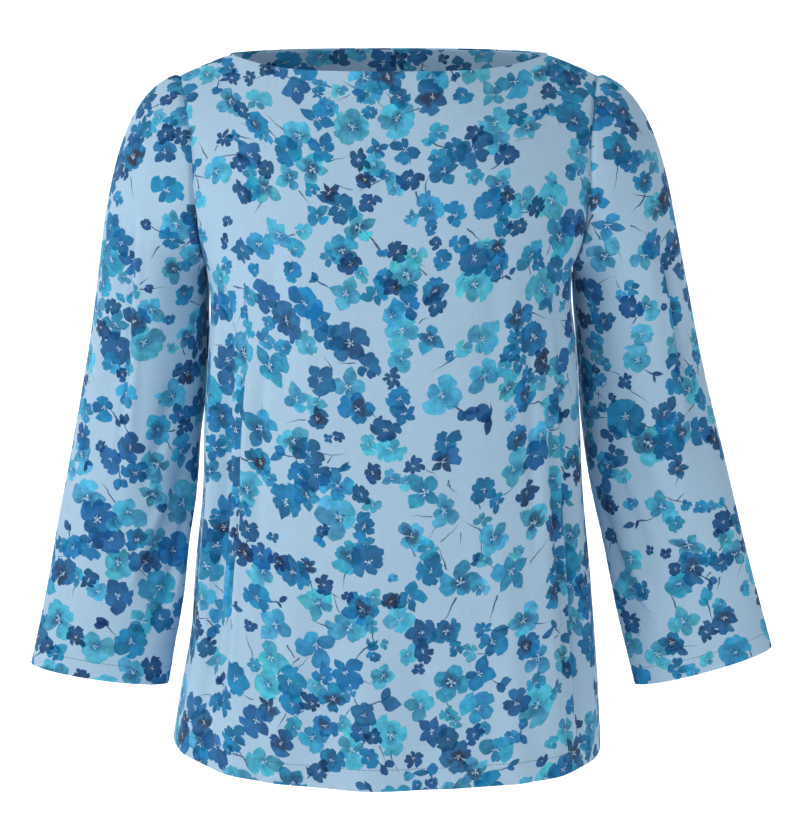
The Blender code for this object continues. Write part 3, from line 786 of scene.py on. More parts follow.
def makeFacing(back, neckLeft, neckRight, upperRows):
    rows = slice(0, upperRows)
    cols = slice(neckLeft, neckRight + 1)
    behind = cloth["solidWall"] / 2 + facing["gap"] + cloth["wall"] / 2
    points = back.points[rows, cols] - back.out[rows, cols] * behind
    sheet = Sheet("backNeckFacing", points, -back.out[rows, cols])
    across = lengthAlong(points, 1)
    middle = across[:, across.shape[1] // 2][:, None]
    down = lengthAlong(points, 0) - points[0, :, 2][None, :]
    shiftX, shiftY = printShift["facing"]
    sheet.flat = np.stack([middle - across + shiftX, -down + shiftY], axis=-1)
    count = points.shape[1]
    distances = edgeDistances(facing["turnedRows"], count)
    turnEdges(sheet, {"bottom": (distances, [facing["turnedGap"]], 1.0, 0, count - 1)})
    return sheet


def panelAcross():
    wanted = math.asin(neck["halfWidth"] / neck["shoulderHalfWidth"])
    fine = np.linspace(0.0, 1.0, grid["searchSteps"])
    neckPoint = float(np.interp(wanted, acrossAngle(fine), fine))
    shoulder = np.linspace(neckPoint, 1.0, grid["shoulderColumns"] + 1)[1:]
    shoulder = np.unique(np.concatenate([shoulder, 1.0 - np.array(grid["edgeColumns"])]))
    middle = np.linspace(-neckPoint, neckPoint, grid["neckColumns"] + 1)
    return np.concatenate([-shoulder[::-1], middle, shoulder]), len(shoulder)


def panelDown():
    upper = np.linspace(0.0, 1.0, grid["armholeRows"] + 1)
    upper = np.unique(np.concatenate([upper, grid["topRows"]]))
    lower = np.linspace(1.0, 2.0, grid["bodyRows"] + 1)[1:]
    return np.concatenate([upper, lower]), len(upper) - 1


def flatPanel(sheet, panel):
    # lengths over the cloth, across from the centre line and down from the neckline
    across = lengthAlong(sheet.points, 1)
    middle = across[:, across.shape[1] // 2][:, None]
    down = lengthAlong(sheet.points, 0) - sheet.points[0, :, 2][None, :]
    shiftX, shiftY = printShift[panel["name"]]
    return np.stack([across - middle + shiftX, -down + shiftY], axis=-1)


# Laying a sleeve flat: a coarse net of it is relaxed until its threads have their own lengths
flattening = {
    "rowStep": 6,
    "colStep": 4,
    "rounds": 500,
    "pull": 0.30,
}


def relaxFlat(points, flat):
    links = (((0, 0), (0, 1)), ((0, 0), (1, 0)), ((0, 0), (1, 1)), ((0, 1), (1, 0)))
    rows, cols = flat.shape[:2]
    pairs = []
    for (r0, c0), (r1, c1) in links:
        high, wide = rows - max(r0, r1), cols - max(c0, c1)
        first = (slice(r0, r0 + high), slice(c0, c0 + wide))
        second = (slice(r1, r1 + high), slice(c1, c1 + wide))
        pairs.append((first, second, np.linalg.norm(points[first] - points[second], axis=2)))
    for _ in range(flattening["rounds"]):
        move = np.zeros_like(flat)
        for first, second, length in pairs:
            gap = flat[second] - flat[first]
            now = np.maximum(np.linalg.norm(gap, axis=2), 1e-9)
            push = gap * ((now - length) / now)[:, :, None] * flattening["pull"] / 2
            move[first] += push
            move[second] -= push
        flat = flat + move
    return flat


def everyFew(count, step, extra):      # every few numbers, with the last one and an extra one
    return np.unique(np.append(np.arange(0, count, step), (count - 1, extra)))


def betweenPicked(values, picked, count):
    # all rows, read between the picked ones
    full = np.zeros((count,) + values.shape[1:])
    for col, part in np.ndindex(values.shape[1:]):
        full[:, col, part] = np.interp(np.arange(count), picked, values[:, col, part])
    return full


def flatSleeve(sheet, sleeve, capRows):
    rows, cols = sheet.points.shape[:2]
    pickedRows = everyFew(rows, flattening["rowStep"], capRows)
    pickedCols = everyFew(cols, flattening["colStep"], cols // 2)
    coarse = sheet.points[np.ix_(pickedRows, pickedCols)]
    middle = int(np.searchsorted(pickedCols, cols // 2))
    capRow = int(np.searchsorted(pickedRows, capRows))
    down = lengthAlong(coarse, 0)
    down = down - down[capRow]
    around = lengthAlong(coarse, 1)
    around = around - around[:, middle][:, None]
    across = np.where(np.arange(len(coarse))[:, None] < capRow, around[capRow], around)
    flat = relaxFlat(coarse, np.stack([across, -down], axis=-1))
    flat = flat - flat[capRow, middle]
    fine = betweenPicked(flat, pickedRows, rows).transpose(1, 0, 2)
    fine = betweenPicked(fine, pickedCols, cols).transpose(1, 0, 2)
    return fine + np.array(printShift[sleeve["name"]])


def openSleeve(points, out):
    # cuts the closed rings at the underarm, where the sleeve has its seam
    half = points.shape[1] // 2
    order = (np.arange(points.shape[1] + 1) + half) % points.shape[1]
    return points[:, order].copy(), out[:, order].copy()


def makePanelSheet(panel, across, down):
    points, out = panelCloth(panel, across, down)
    return Sheet(panel["name"], points, out)


def makeSleeveSheet(sleeve, shares):
    rounds = np.concatenate([math.pi * shares, 2 * math.pi - math.pi * shares[-2:0:-1]])
    armShares = np.linspace(0.0, 1.0, grid["armRows"] + 1)
    points, out = sleeveCloth(sleeve, rounds, shares, grid["capRows"], armShares)
    return Sheet(sleeve["name"], points, out)


def layOnSolid(sheet):
    # the printed side lies where the outer skin of the solid is
    sheet.points += sheet.out * (cloth["solidWall"] - cloth["wall"]) / 2


def distancesFrom(points):
    # over the cloth, from the top edge, the bottom edge and the nearer side
    fromLeft = lengthAlong(points, 1)
    fromTop = lengthAlong(points, 0)
    return fromTop, fromTop[-1:] - fromTop, np.minimum(fromLeft, fromLeft[:, -1:] - fromLeft)


def drawIn(sheet, fromSeam, fromBottom, turnedDepth):
    seamPucker(sheet, fromSeam, pucker["seamSeed"])
    seamPucker(sheet, np.abs(fromBottom - turnedDepth * pucker["hemPlace"]), pucker["hemSeed"])
    sinkIntoSeam(sheet, fromSeam)


def seamPlans(rows, first):
    distances = edgeDistances(turned["seamRows"], rows)
    plan = (distances, [turned["seamGap"]], turned["seamBulge"], first, rows - 1)
    return {"left": plan, "right": plan}


def finishPanel(sheet, panel, neckLeft, neckRight, armholeRow):
    layOnSolid(sheet)
    rows, cols = sheet.points.shape[:2]
    fromTop, fromHem, fromSide = distancesFrom(sheet.points)
    shoulder = np.ones((1, cols), bool)
    shoulder[0, neckLeft + 1:neckRight] = False
    fromSeam = np.where(shoulder, np.minimum(fromSide, fromTop), fromSide)
    drawIn(sheet, fromSeam, fromHem, cloth["hemDepth"])
    sheet.flat = flatPanel(sheet, panel)
    stitchPath = edgePath(sheet, "bottom", cloth["hemStitch"])
    pastNeck = np.maximum(neckLeft - np.arange(cols), np.arange(cols) - neckRight)
    onShoulder = np.clip(pastNeck / turned["neckColumns"], 0.0, 1.0)
    full = edgeDistances(turned["neckRows"], cols)
    onNeck = full * turned["backNeckShare"] if panel is backPanel else full
    top = onNeck * (1 - onShoulder) + full * turned["shoulderShare"] * onShoulder
    plans = {
        "bottom": (edgeDistances(turned["hemRows"], cols), turned["hemGaps"], 1.0, 0, cols - 1),
        "top": (top, [turned["seamGap"]], turned["neckBulge"], 0, cols - 1),
    }
    turnEdges(sheet, plans | seamPlans(rows, armholeRow + turned["panelStart"]))
    return stitchPath


def finishSleeve(sheet, sleeve):
    sheet.points, sheet.out = openSleeve(sheet.points, sheet.out)
    first = unit(sheet.points[:, 1] - sheet.points[:, 0])
    last = unit(sheet.points[:, -2] - sheet.points[:, -1])
    sheet.points[:, 0] += first * cloth["seamGap"] / 2
    sheet.points[:, -1] += last * cloth["seamGap"] / 2
    layOnSolid(sheet)
    rows, cols = sheet.points.shape[:2]
    fromTop, fromCuff, fromSide = distancesFrom(sheet.points)
    drawIn(sheet, np.minimum(fromSide, fromTop), fromCuff, cloth["cuffDepth"])
    sheet.flat = flatSleeve(sheet, sleeve, grid["capRows"])
    stitchPath = edgePath(sheet, "bottom", cloth["cuffStitch"])
    plans = {"bottom": (edgeDistances(turned["cuffRows"], cols), turned["hemGaps"], 1.0, 0, cols - 1)}
    turnEdges(sheet, plans | seamPlans(rows, turned["sleeveStart"]))
    return stitchPath


# The printed cotton: watercolour flowers on a sky blue ground, placed by a fixed seed.
# The colours are those of the cloth itself, before light and shade.
printColours = {
    "ground": (0.410, 0.597, 0.768),
    "turquoise": (0.072, 0.430, 0.640),
    "teal": (0.034, 0.320, 0.560),
    "midBlue": (0.013, 0.172, 0.400),
    "brightBlue": (0.011, 0.215, 0.455),
    "violetBlue": (0.020, 0.137, 0.340),
    "deepBlue": (0.013, 0.092, 0.230),
    "navy": (0.012, 0.085, 0.250),
    "bleed": (0.020, 0.150, 0.370),
    "ink": (0.020, 0.032, 0.085),
    "smudge": (0.024, 0.029, 0.066),
    "white": (0.74, 0.82, 0.90),
}

# The kinds of flowers, from the lowest paint to the top one: how many on a square metre,
# smallest and largest radius, how far apart as a share of both radii, how many petals,
# width, pointed and notched tips, colours, and how dark the centre is (above 1 is smudged)
flowerKinds = rowsOf("name perArea low high apart petals width pointed notch colours centre", [
    ("largeTurquoise", 430, 0.0160, 0.0235, 0.60, (4, 4, 5), 1.50, 1.10, 0.6,
     ("turquoise", "turquoise", "teal"), (0.5, 1.35)),
    ("largeBlue", 500, 0.0145, 0.0215, 0.42, (4, 5, 5), 1.50, 1.05, 0.8,
     ("midBlue", "brightBlue", "violetBlue"), (0.3, 1.60)),
    ("smallTurquoise", 430, 0.0085, 0.0130, 0.46, (4, 5), 1.50, 0.9, 0.8,
     ("turquoise", "teal", "brightBlue"), (0.4, 0.9)),
    ("streaked", 190, 0.0105, 0.0150, 0.43, (6, 7), 1.20, 0.80, 0.5,
     ("deepBlue", "navy"), (0.7, 1.8)),
])
blossoms = {                      # small dark ones, in short chains
    "perArea": 520,               # chains
    "count": (1, 4),
    "low": 0.0060,
    "high": 0.0084,
    "petals": (4, 4, 5),
    "width": 1.55,
    "pointed": 0.25,
    "notch": 0.6,
    "colours": ("navy", "navy", "midBlue", "teal"),
    "centre": (0.1, 0.3),
    "turn": 0.7,
    "widthSpread": (0.85, 1.1),
    "step": 0.98,                 # from one to the next, as a share of both radii
    "apart": (0.62, 0.52),        # the first of a chain, then the others
}
leaves = {                        # in twos and threes on a stem
    "perArea": 460,
    "low": 0.0120,
    "high": 0.0215,
    "width": 1.05,
    "spread": 0.62,
    "pairShare": 0.75,            # the others are threes
    "start": (0.95, 1.5),         # where its stem leaves a flower, as a share of the radius
    "turnSpread": (0.7, 1.2),
    "lengthSpread": (0.62, 1.0),
    "widthSpread": (0.8, 1.35),
    "foot": 0.15,                 # shares of its length: the start of its blades, its middle,
    "middle": 0.6,                # its far part and the free room that it needs there
    "far": 0.75,
    "room": 0.5,
    "stemTurn": 0.4,
    "stemBend": 0.3,
    "apart": 0.60,
    "pointed": 0.9,
    "colours": ("midBlue", "navy", "teal", "violetBlue"),
    "stem": (0.010, 0.028),
}
strokes = {                       # thin brush strokes that leave the flowers
    "perArea": 780,
    "length": (0.010, 0.028),
    "start": (0.55, 1.0),         # where it leaves a flower, as a share of the radius
    "turn": 0.5,
    "bend": 0.26,
    "halfWidth": (0.00042, 0.00085),
    "taper": 1.6,
    "softEdge": (-0.00008, 0.00022),
    "softStart": 0.05,
    "cover": 0.90,
    "places": 7,                  # along it, round which its faces are looked for
    "placeReach": 11,             # its length to how far round each of them
}
arrangement = {
    "waves": 14,                  # that make up the bunches
    "spare": 0.02,                # painted past the edges of the cloth
    "patch": 0.080,               # size of the bunches and of the open ground between them
    "patchSpread": (0.7, 1.6),
    "scatter": 0.5,               # flowers that stray from the bunches
    "tintSpread": (0.93, 1.07),
    "widthSpread": (0.85, 1.15),
    "openGround": -0.95,          # more of it where this is higher
    "tries": 26,
    "margin": 0.0018,             # how far wobbling paint may reach past a flower's radius
    "corner": 1.42,               # a face's corner lies this much further out than its side
    "faceShare": 0.99,            # of the faces, from the smallest up, that this is worked out for
    "motifSlots": 8,              # flowers and leaves, then strokes, that may cross one face
    "strokeSlots": 2,
}


def pointing(heading):
    return np.array([math.cos(heading), math.sin(heading)])


class Arrangement:
    # flowers, leaves and strokes on one piece of flat cloth

    def __init__(self, low, high, seed):
        self.low = np.array(low) - arrangement["spare"]
        self.size = np.array(high) + arrangement["spare"] - self.low
        self.area = self.size[0] * self.size[1]
        self.random = np.random.default_rng(seed)
        self.draw = self.random.uniform
        turns = self.draw(0, 2 * math.pi, arrangement["waves"])
        lengths = arrangement["patch"] * self.draw(*arrangement["patchSpread"], arrangement["waves"])
        self.waves = np.stack([np.cos(turns), np.sin(turns)]) * 2 * math.pi / lengths
        self.phases = self.draw(0, 2 * math.pi, arrangement["waves"])
        self.motifs = []
        self.strokes = []
        self.circles = np.zeros((0, 3))

    def crowded(self, point):
        waves = np.cos(point @ self.waves + self.phases)
        return waves.sum() / math.sqrt(len(waves) / 2)

    def clear(self, point, radius, apart):
        away = np.hypot(*(self.circles[:, :2] - point).T)
        return not (away < apart * (self.circles[:, 2] + radius)).any()

    def somewhere(self):
        return self.low + self.random.random(2) * self.size

    def pick(self, values):
        return values[self.random.integers(len(values))]

    def anyAngle(self):
        return self.draw(-math.pi, math.pi)

    def repeats(self, kind):       # how many of a kind this cloth has
        return range(int(kind["perArea"] * self.area))

    def put(self, point, radius, angle, petals, width, pointed, notch, colour, centre):
        tint = np.array(printColours[colour]) * self.draw(*arrangement["tintSpread"], 3)
        self.motifs.append((*point, angle, radius, petals, width, pointed, notch, *tint, centre))

    def holdRoom(self, point, radius):
        self.circles = np.vstack([self.circles, [*point, radius]])

    def putStroke(self, point, angle, length, bend, halfWidth):
        self.strokes.append((*point, angle, length, bend, halfWidth, self.random.random(), 0.0))

    def addFlower(self, kind):
        radius = self.draw(kind["low"], kind["high"])
        for _ in range(arrangement["tries"]):
            point = self.somewhere()
            near = self.crowded(point) + self.random.normal(0.0, arrangement["scatter"])
            if near > arrangement["openGround"] and self.clear(point, radius, kind["apart"]):
                self.put(point, radius, self.anyAngle(), self.pick(kind["petals"]),
                         kind["width"] * self.draw(*arrangement["widthSpread"]),
                         kind["pointed"] * self.random.random(),
                         kind["notch"], self.pick(kind["colours"]), self.draw(*kind["centre"]))
                self.holdRoom(point, radius)
                return [(point, radius)]
        return []

    def addFlowers(self, kind):
        made = []
        for _ in self.repeats(kind):
            made += self.addFlower(kind)
        return made

    def addChains(self):
        for _ in self.repeats(blossoms):
            point = self.somewhere()
            heading = self.anyAngle()
            last = None
            for number in range(self.random.integers(*blossoms["count"])):
                radius = self.draw(blossoms["low"], blossoms["high"])
                if number:
                    heading += self.draw(-1, 1) * blossoms["turn"]
                    point = point + (last + radius) * blossoms["step"] * pointing(heading)
                if not self.clear(point, radius, blossoms["apart"][min(number, 1)]):
                    break
                self.put(point, radius, self.anyAngle(), self.pick(blossoms["petals"]),
                         blossoms["width"] * self.draw(*blossoms["widthSpread"]),
                         blossoms["pointed"], blossoms["notch"],
                         self.pick(blossoms["colours"]), self.draw(*blossoms["centre"]))
                self.holdRoom(point, radius)
                last = radius

    def addLeaves(self, flowers):
        for _ in self.repeats(leaves):
            centre, radius = self.pick(flowers)
            heading = self.anyAngle()
            out = pointing(heading)
            base = centre + out * radius * self.draw(*leaves["start"])
            length = self.draw(leaves["low"], leaves["high"])
            far = base + out * length * leaves["far"]
            if not self.clear(far, length * leaves["room"], leaves["apart"]):
                continue
            colour = self.pick(leaves["colours"])
            for side in ((-1, 1) if self.random.random() < leaves["pairShare"] else (-1, 0, 1)):
                turn = side * leaves["spread"] * self.draw(*leaves["turnSpread"])
                foot = base + out * length * leaves["foot"] * (side + 1) * self.random.random()
                self.put(foot, length * self.draw(*leaves["lengthSpread"]), heading + turn, 1,
                         leaves["width"] * self.draw(*leaves["widthSpread"]), leaves["pointed"], 0.0,
                         colour, 0.0)
            self.holdRoom(base + out * length * leaves["middle"], length * leaves["middle"])
            stem = self.draw(*leaves["stem"])
            back = heading + math.pi + self.draw(-leaves["stemTurn"], leaves["stemTurn"])
            self.putStroke(base + out * length * leaves["foot"], back, stem,
                           self.draw(-leaves["stemBend"], leaves["stemBend"]), strokes["halfWidth"][1])

    def addStrokes(self, flowers):
        for _ in self.repeats(strokes):
            centre, radius = self.pick(flowers)
            heading = self.anyAngle()
            start = centre + radius * self.draw(*strokes["start"]) * pointing(heading)
            away = heading + self.draw(-strokes["turn"], strokes["turn"])
            self.putStroke(start, away, self.draw(*strokes["length"]),
                           self.draw(-1, 1) * strokes["bend"], self.draw(*strokes["halfWidth"]))


def arrangePrint(low, high, seed):
    made = Arrangement(low, high, seed)
    flowers = []
    for kind in flowerKinds[:2]:
        flowers += made.addFlowers(kind)
    made.addLeaves(flowers)
    for kind in flowerKinds[2:]:
        flowers += made.addFlowers(kind)
    made.addChains()
    made.addStrokes(flowers)
    return np.array(made.motifs), np.array(made.strokes)


class FaceNet:
    # finds the faces in a rectangle of the flat cloth

    def __init__(self, centres, square=0.012):
        self.centres, self.square = centres, square
        self.low = centres.min(axis=0)
        cells = ((centres - self.low) / square).astype(int)
        self.across = int(cells[:, 0].max()) + 1
        self.down = int(cells[:, 1].max()) + 1
        keys = cells[:, 1] * self.across + cells[:, 0]
        self.order = np.argsort(keys, kind="stable")
        self.starts = np.searchsorted(keys[self.order], np.arange(self.across * self.down + 1))

    def within(self, low, high):
        first = np.maximum(((low - self.low) / self.square).astype(int), 0)
        last = np.minimum(((high - self.low) / self.square).astype(int), (self.across - 1, self.down - 1))
        found = [np.zeros(0, int)]
        for row in range(first[1], last[1] + 1):
            ends = row * self.across + first[0], row * self.across + last[0] + 1
            if last[0] >= first[0]:
                found.append(self.order[self.starts[ends[0]]:self.starts[ends[1]]])
        return np.concatenate(found)


def motifPath(row):
    return row[None, :2], row[3]


def strokePath(row):
    heading = pointing(row[2])
    aside = np.array([-heading[1], heading[0]])
    shares = np.linspace(0.0, 1.0, strokes["places"])[:, None]
    path = row[:2] + heading * row[3] * shares + aside * row[4] * row[3] * shares**2
    return path, row[3] / strokes["placeReach"]


def nearTable(net, rows, reach, pathOf, slots):
    # for each face, the last rows that come near it, the lowest paint first
    count = np.zeros(len(net.centres), int)
    table = np.full((slots, len(count)), -1)
    for number in range(len(rows) - 1, -1, -1):
        path, radius = pathOf(rows[number])
        radius += reach
        faces = net.within(path.min(axis=0) - radius, path.max(axis=0) + radius)
        away = ((net.centres[faces][:, None] - path) ** 2).sum(axis=2).min(axis=1)
        faces = faces[(away < radius**2) & (count[faces] < slots)]
        table[count[faces], faces] = number
        count[faces] += 1
    slot = np.arange(slots)[:, None]
    order = np.where(slot < count, count - 1 - slot, slot)
    return np.take_along_axis(table, order, axis=0), count


def storeRows(mesh, prefix, rows, table):
    # four values of a row go into each colour of a face; the last row is for faces without one
    rows = np.vstack([rows, np.zeros(rows.shape[1])]).astype(np.float32)
    for slot, numbers in enumerate(table):
        for part in range(rows.shape[1] // 4):
            layer = mesh.attributes.new(f"{prefix}{slot}part{part}", "FLOAT_COLOR", "FACE")
            layer.data.foreach_set("color", rows[numbers, 4 * part:4 * part + 4].ravel())


def printOnMesh(mesh, seed):
    # each face is told which flowers and strokes may cross it
    place = np.zeros(len(mesh.loops) * 2, np.float32)
    mesh.uv_layers["clothPlace"].uv.foreach_get("vector", place)
    place = place.reshape(-1, 4, 2)
    centres = place.mean(axis=1).astype(float)
    halfFaces = np.abs(place - place.mean(axis=1)[:, None]).max(axis=(1, 2))
    halfFace = float(np.quantile(halfFaces, arrangement["faceShare"]))
    reach = arrangement["margin"] + halfFace * arrangement["corner"]
    motifs, brush = arrangePrint(centres.min(axis=0), centres.max(axis=0), seed)
    net = FaceNet(centres)
    table, held = nearTable(net, motifs, reach, motifPath, arrangement["motifSlots"])
    mesh.attributes.new("motifCount", "FLOAT", "FACE").data.foreach_set("value", held.astype(np.float32))
    storeRows(mesh, "motif", motifs, table)
    table, _ = nearTable(net, brush, reach, strokePath, arrangement["strokeSlots"])
    storeRows(mesh, "stroke", brush, table)
    return len(motifs), len(brush)


class Nodes:
    # builds a node tree by short calls, each of which gives the new node's output

    def __init__(self, tree):
        self.tree = tree

    def add(self, kind, **settings):
        made = self.tree.nodes.new(kind)
        for name, value in settings.items():
            setattr(made, name, value)
        return made

    def give(self, socket, value):
        if isinstance(value, bpy.types.NodeSocket):
            self.tree.links.new(value, socket)
        elif value is not None:
            socket.default_value = value

    def fed(self, kind, values, **settings):    # a node with its inputs given by name or number
        made = self.add(kind, **settings)
        for name, value in values.items():
            self.give(made.inputs[name], value)
        return made.outputs

    def attribute(self, name):
        return self.add("ShaderNodeAttribute", attribute_name=name).outputs

    def math(self, operation, a, b=None, c=None, clamp=False):
        return self.fed("ShaderNodeMath", {0: a, 1: b, 2: c}, operation=operation, use_clamp=clamp)[0]

    def plus(self, a, b):
        return self.math("ADD", a, b)

    def minus(self, a, b, clamp=False):
        return self.math("SUBTRACT", a, b, clamp=clamp)

    def times(self, *factors, clamp=False):
        made = factors[0]
        for factor in factors[1:-1]:
            made = self.math("MULTIPLY", made, factor)
        return self.math("MULTIPLY", made, factors[-1], clamp=clamp)

    def vector(self, operation, a, b=None, c=None):
        made = self.fed("ShaderNodeVectorMath", {0: a, 1: b, 2: c}, operation=operation)
        return made["Value"] if operation == "LENGTH" else made["Vector"]

    def scaled(self, vector, factor):
        return self.fed("ShaderNodeVectorMath", {0: vector, "Scale": factor}, operation="SCALE")["Vector"]

    def mix(self, share, a, b):
        return self.fed("ShaderNodeMix", {0: share, 6: a, 7: b}, data_type="RGBA")[2]

    def split(self, vector):
        return tuple(self.fed("ShaderNodeSeparateXYZ", {0: vector}))

    def join(self, x, y, z=0.0):
        return self.fed("ShaderNodeCombineXYZ", {0: x, 1: y, 2: z})[0]

    def noise(self, vector, scale, detail, roughness=0.5):
        return self.fed("ShaderNodeTexNoise", {"Vector": vector, "Scale": scale, "Detail": detail,
                                               "Roughness": roughness}, noise_dimensions="2D")

    def step(self, value, start, end):   # 0 below start, 1 above end, even between
        return self.fed("ShaderNodeMapRange", {
            "Value": value, "From Min": start, "From Max": end})["Result"]

    def between(self, share, low, high):
        return self.math("MULTIPLY_ADD", share, high - low, low)

    def ring(self, reach, middle, outer, inner):   # 1 round the centre, 0 away from the ring
        return self.step(self.math("ABSOLUTE", self.minus(reach, middle)), outer, inner)


def paletteColour(name):
    return tuple(printColours[name]) + (1.0,)


def newGroup(name, inputs, outputs, kindOfTree="ShaderNodeTree"):
    tree = bpy.data.node_groups.new(name, kindOfTree)
    for label, kind in inputs:
        tree.interface.new_socket(label, in_out="INPUT", socket_type="NodeSocket" + kind)
    for label, kind in outputs:
        tree.interface.new_socket(label, in_out="OUTPUT", socket_type="NodeSocket" + kind)
    nodes = Nodes(tree)
    return tree, nodes, nodes.add("NodeGroupInput").outputs, nodes.add("NodeGroupOutput").inputs


petal = {
    "base": 0.80,             # how fast a petal widens from its base
    "roundTip": 0.56,         # closing of a rounded tip, and what a pointed one adds
    "pointedTip": 0.60,
    "lean": 0.58,             # most that a petal leans to a side, both ways together
    "shortest": 0.58,
    "width": (0.72, 1.22),
    "notchWidth": 0.20,
    "notchedFrom": 0.45,      # petals whose shape draw is higher have a notch
    "blunt": 1.15,            # and the higher it is, the less pointed they are
    "dice": 311.0,            # spreads the places of the flowers, for one draw each
    "softEdge": 0.040,
    "rim": 0.10,
    "gap": 0.012,             # light gap between petals by the centre, and how fast it closes
    "gapClose": 0.30,
    "leafUpTo": 2.5,          # fewer petals than this are a leaf's
}
paint = {
    "strength": (0.70, 1.18),             # from one petal to another
    "hue": ((0.30, 0.16, 0.10), (0.85, 0.92, 0.95)),   # its spread and its lowest
    "pooled": 0.85,                       # how much more paint lies where it pooled
    "rim": 0.08,
    "bleed": (0.62, 0.12),                # where the darker centre starts and where it is full
    "bleedPooled": 0.7,
    "bleedDark": 0.62,
    "smudge": (0.50, 0.20),
    "smudgePooled": 1.3,
    "smudgeDark": 1.7,
    "mottle": ((0.80, 0.52, 0.38), (0.60, 0.74, 0.81)),
    "over": 0.42,                         # how much the paint below shows through
    "cover": 0.97,
    "specks": (0.13, 0.055, 0.020),       # ring of white specks: its middle, outside and full part
    "dots": (0.15, 0.075, 0.030),
    "specksCover": 0.85,
    "speckedFrom": 0.50,                  # petals whose length draw is higher have white specks
    "rays": (5.0, 6.0),                   # specks round the centre, and how much they shift
    "speckRay": (0.45, 0.90),
    "dotRay": (-0.55, -0.90),
}


def flowerTree():
    tree, n, given, made = newGroup("paintedFlower", [
        ("Under", "Color"), ("Place", "Vector"), ("Mottle", "Color"), ("Pool", "Float"),
        ("Centre and Turn", "Vector"), ("Radius", "Float"), ("Form", "Vector"), ("Notch", "Float"),
        ("Tint", "Color"), ("Dark Centre", "Float"),
    ], [("Colour", "Color")])
    away = n.vector("SUBTRACT", given["Place"], given["Centre and Turn"])
    x, y, turn = n.split(away)
    petals, width, pointed = n.split(given["Form"])
    flat = n.vector("LENGTH", n.vector("MULTIPLY", away, (1.0, 1.0, 0.0)))
    reach = n.math("DIVIDE", flat, n.math("MAXIMUM", given["Radius"], 0.00001))
    angle = n.plus(n.math("ARCTAN2", y, x), turn)
    turns = n.times(n.math("DIVIDE", angle, 2 * math.pi), petals)
    nearest = n.math("ROUND", turns)
    number = n.math("FLOORED_MODULO", nearest, petals)
    sector = n.math("DIVIDE", 2 * math.pi, n.math("MAXIMUM", petals, 1.0))
    straight = n.times(n.minus(turns, nearest), sector)
    spot = n.vector("MULTIPLY", given["Centre and Turn"], (petal["dice"], petal["dice"], 0.0))
    dice = n.fed("ShaderNodeTexWhiteNoise", {"Vector": spot, "W": number}, noise_dimensions="4D")
    longer, wider, shape = n.split(dice["Color"])
    off = n.math("MULTIPLY_ADD", n.minus(dice["Value"], 0.5), petal["lean"], straight)
    share = n.math("DIVIDE", reach, n.between(longer, petal["shortest"], 1.0))
    along = n.times(share, n.math("COSINE", off))
    aside = n.math("ABSOLUTE", n.times(share, n.math("SINE", off)))
    notched = n.times(n.math("GREATER_THAN", shape, petal["notchedFrom"]), given["Notch"])
    dent = n.times(n.minus(petal["notchWidth"], aside, clamp=True), notched)
    start = n.math("POWER", n.math("MAXIMUM", along, 0.0), petal["base"])
    left = n.minus(n.minus(1.0, along), dent)
    sharp = n.times(pointed, n.minus(petal["blunt"], shape))
    tip = n.math("MULTIPLY_ADD", sharp, petal["pointedTip"], petal["roundTip"])
    end = n.math("POWER", n.math("MAXIMUM", left, 0.0), tip)
    half = n.times(start, end, n.times(width, n.between(wider, *petal["width"])))
    inside = n.minus(half, aside)
    wedge = n.minus(n.times(sector, 0.5), n.math("ABSOLUTE", straight))
    closing = n.math("MULTIPLY_ADD", reach, petal["gapClose"], -petal["gap"])
    wedge = n.math("MULTIPLY_ADD", wedge, reach, closing)
    inside = n.math("MINIMUM", inside, wedge)
    mask = n.step(inside, 0.0, petal["softEdge"])
    # the paint: each petal in its own strength, mottled, darker at its rim and by the centre
    rim = n.step(inside, petal["rim"], 0.0)
    strength = n.between(wider, *paint["strength"])
    strength = n.plus(strength, n.times(given["Pool"], paint["pooled"]))
    strength = n.minus(strength, n.times(rim, paint["rim"]))
    hue = n.vector("MULTIPLY_ADD", dice["Color"], *paint["hue"])
    tint = n.vector("MULTIPLY", n.vector("MULTIPLY", given["Tint"], given["Mottle"]), hue)
    tint = n.scaled(tint, strength)
    inner = n.step(n.plus(share, n.times(given["Pool"], paint["bleedPooled"])), *paint["bleed"])
    bleed = n.times(inner, given["Dark Centre"], clamp=True)
    tint = n.mix(n.times(bleed, paint["bleedDark"]), tint, paletteColour("bleed"))
    smudged = n.minus(given["Dark Centre"], 1.0, clamp=True)
    smudge = n.step(n.plus(reach, n.times(given["Pool"], paint["smudgePooled"])), *paint["smudge"])
    smudge = n.times(smudge, smudged, paint["smudgeDark"], clamp=True)
    tint = n.mix(smudge, tint, paletteColour("smudge"))
    # paint over paint is darker
    below = n.vector("DIVIDE", given["Under"], printColours["ground"])
    below = n.mix(paint["over"], (1.0, 1.0, 1.0, 1.0), below)
    painted = n.mix(n.times(mask, paint["cover"]), given["Under"], n.vector("MULTIPLY", tint, below))
    # small white and dark specks round the centre, on flowers and not on leaves
    rays, shift = paint["rays"]
    wave = n.math("SINE", n.math("MULTIPLY_ADD", angle, rays, n.times(shape, shift)))
    flower = n.math("GREATER_THAN", petals, petal["leafUpTo"])
    specks = n.times(n.step(wave, *paint["speckRay"]), n.ring(reach, *paint["specks"]), flower,
                     n.math("GREATER_THAN", longer, paint["speckedFrom"]))
    painted = n.mix(n.times(specks, paint["specksCover"]), painted, paletteColour("white"))
    dots = n.times(n.step(wave, *paint["dotRay"]), n.ring(reach, *paint["dots"]), flower,
                   given["Dark Centre"], clamp=True)
    painted = n.mix(n.times(dots, paint["specksCover"]), painted, paletteColour("ink"))
    tree.links.new(painted, made["Colour"])
    return tree


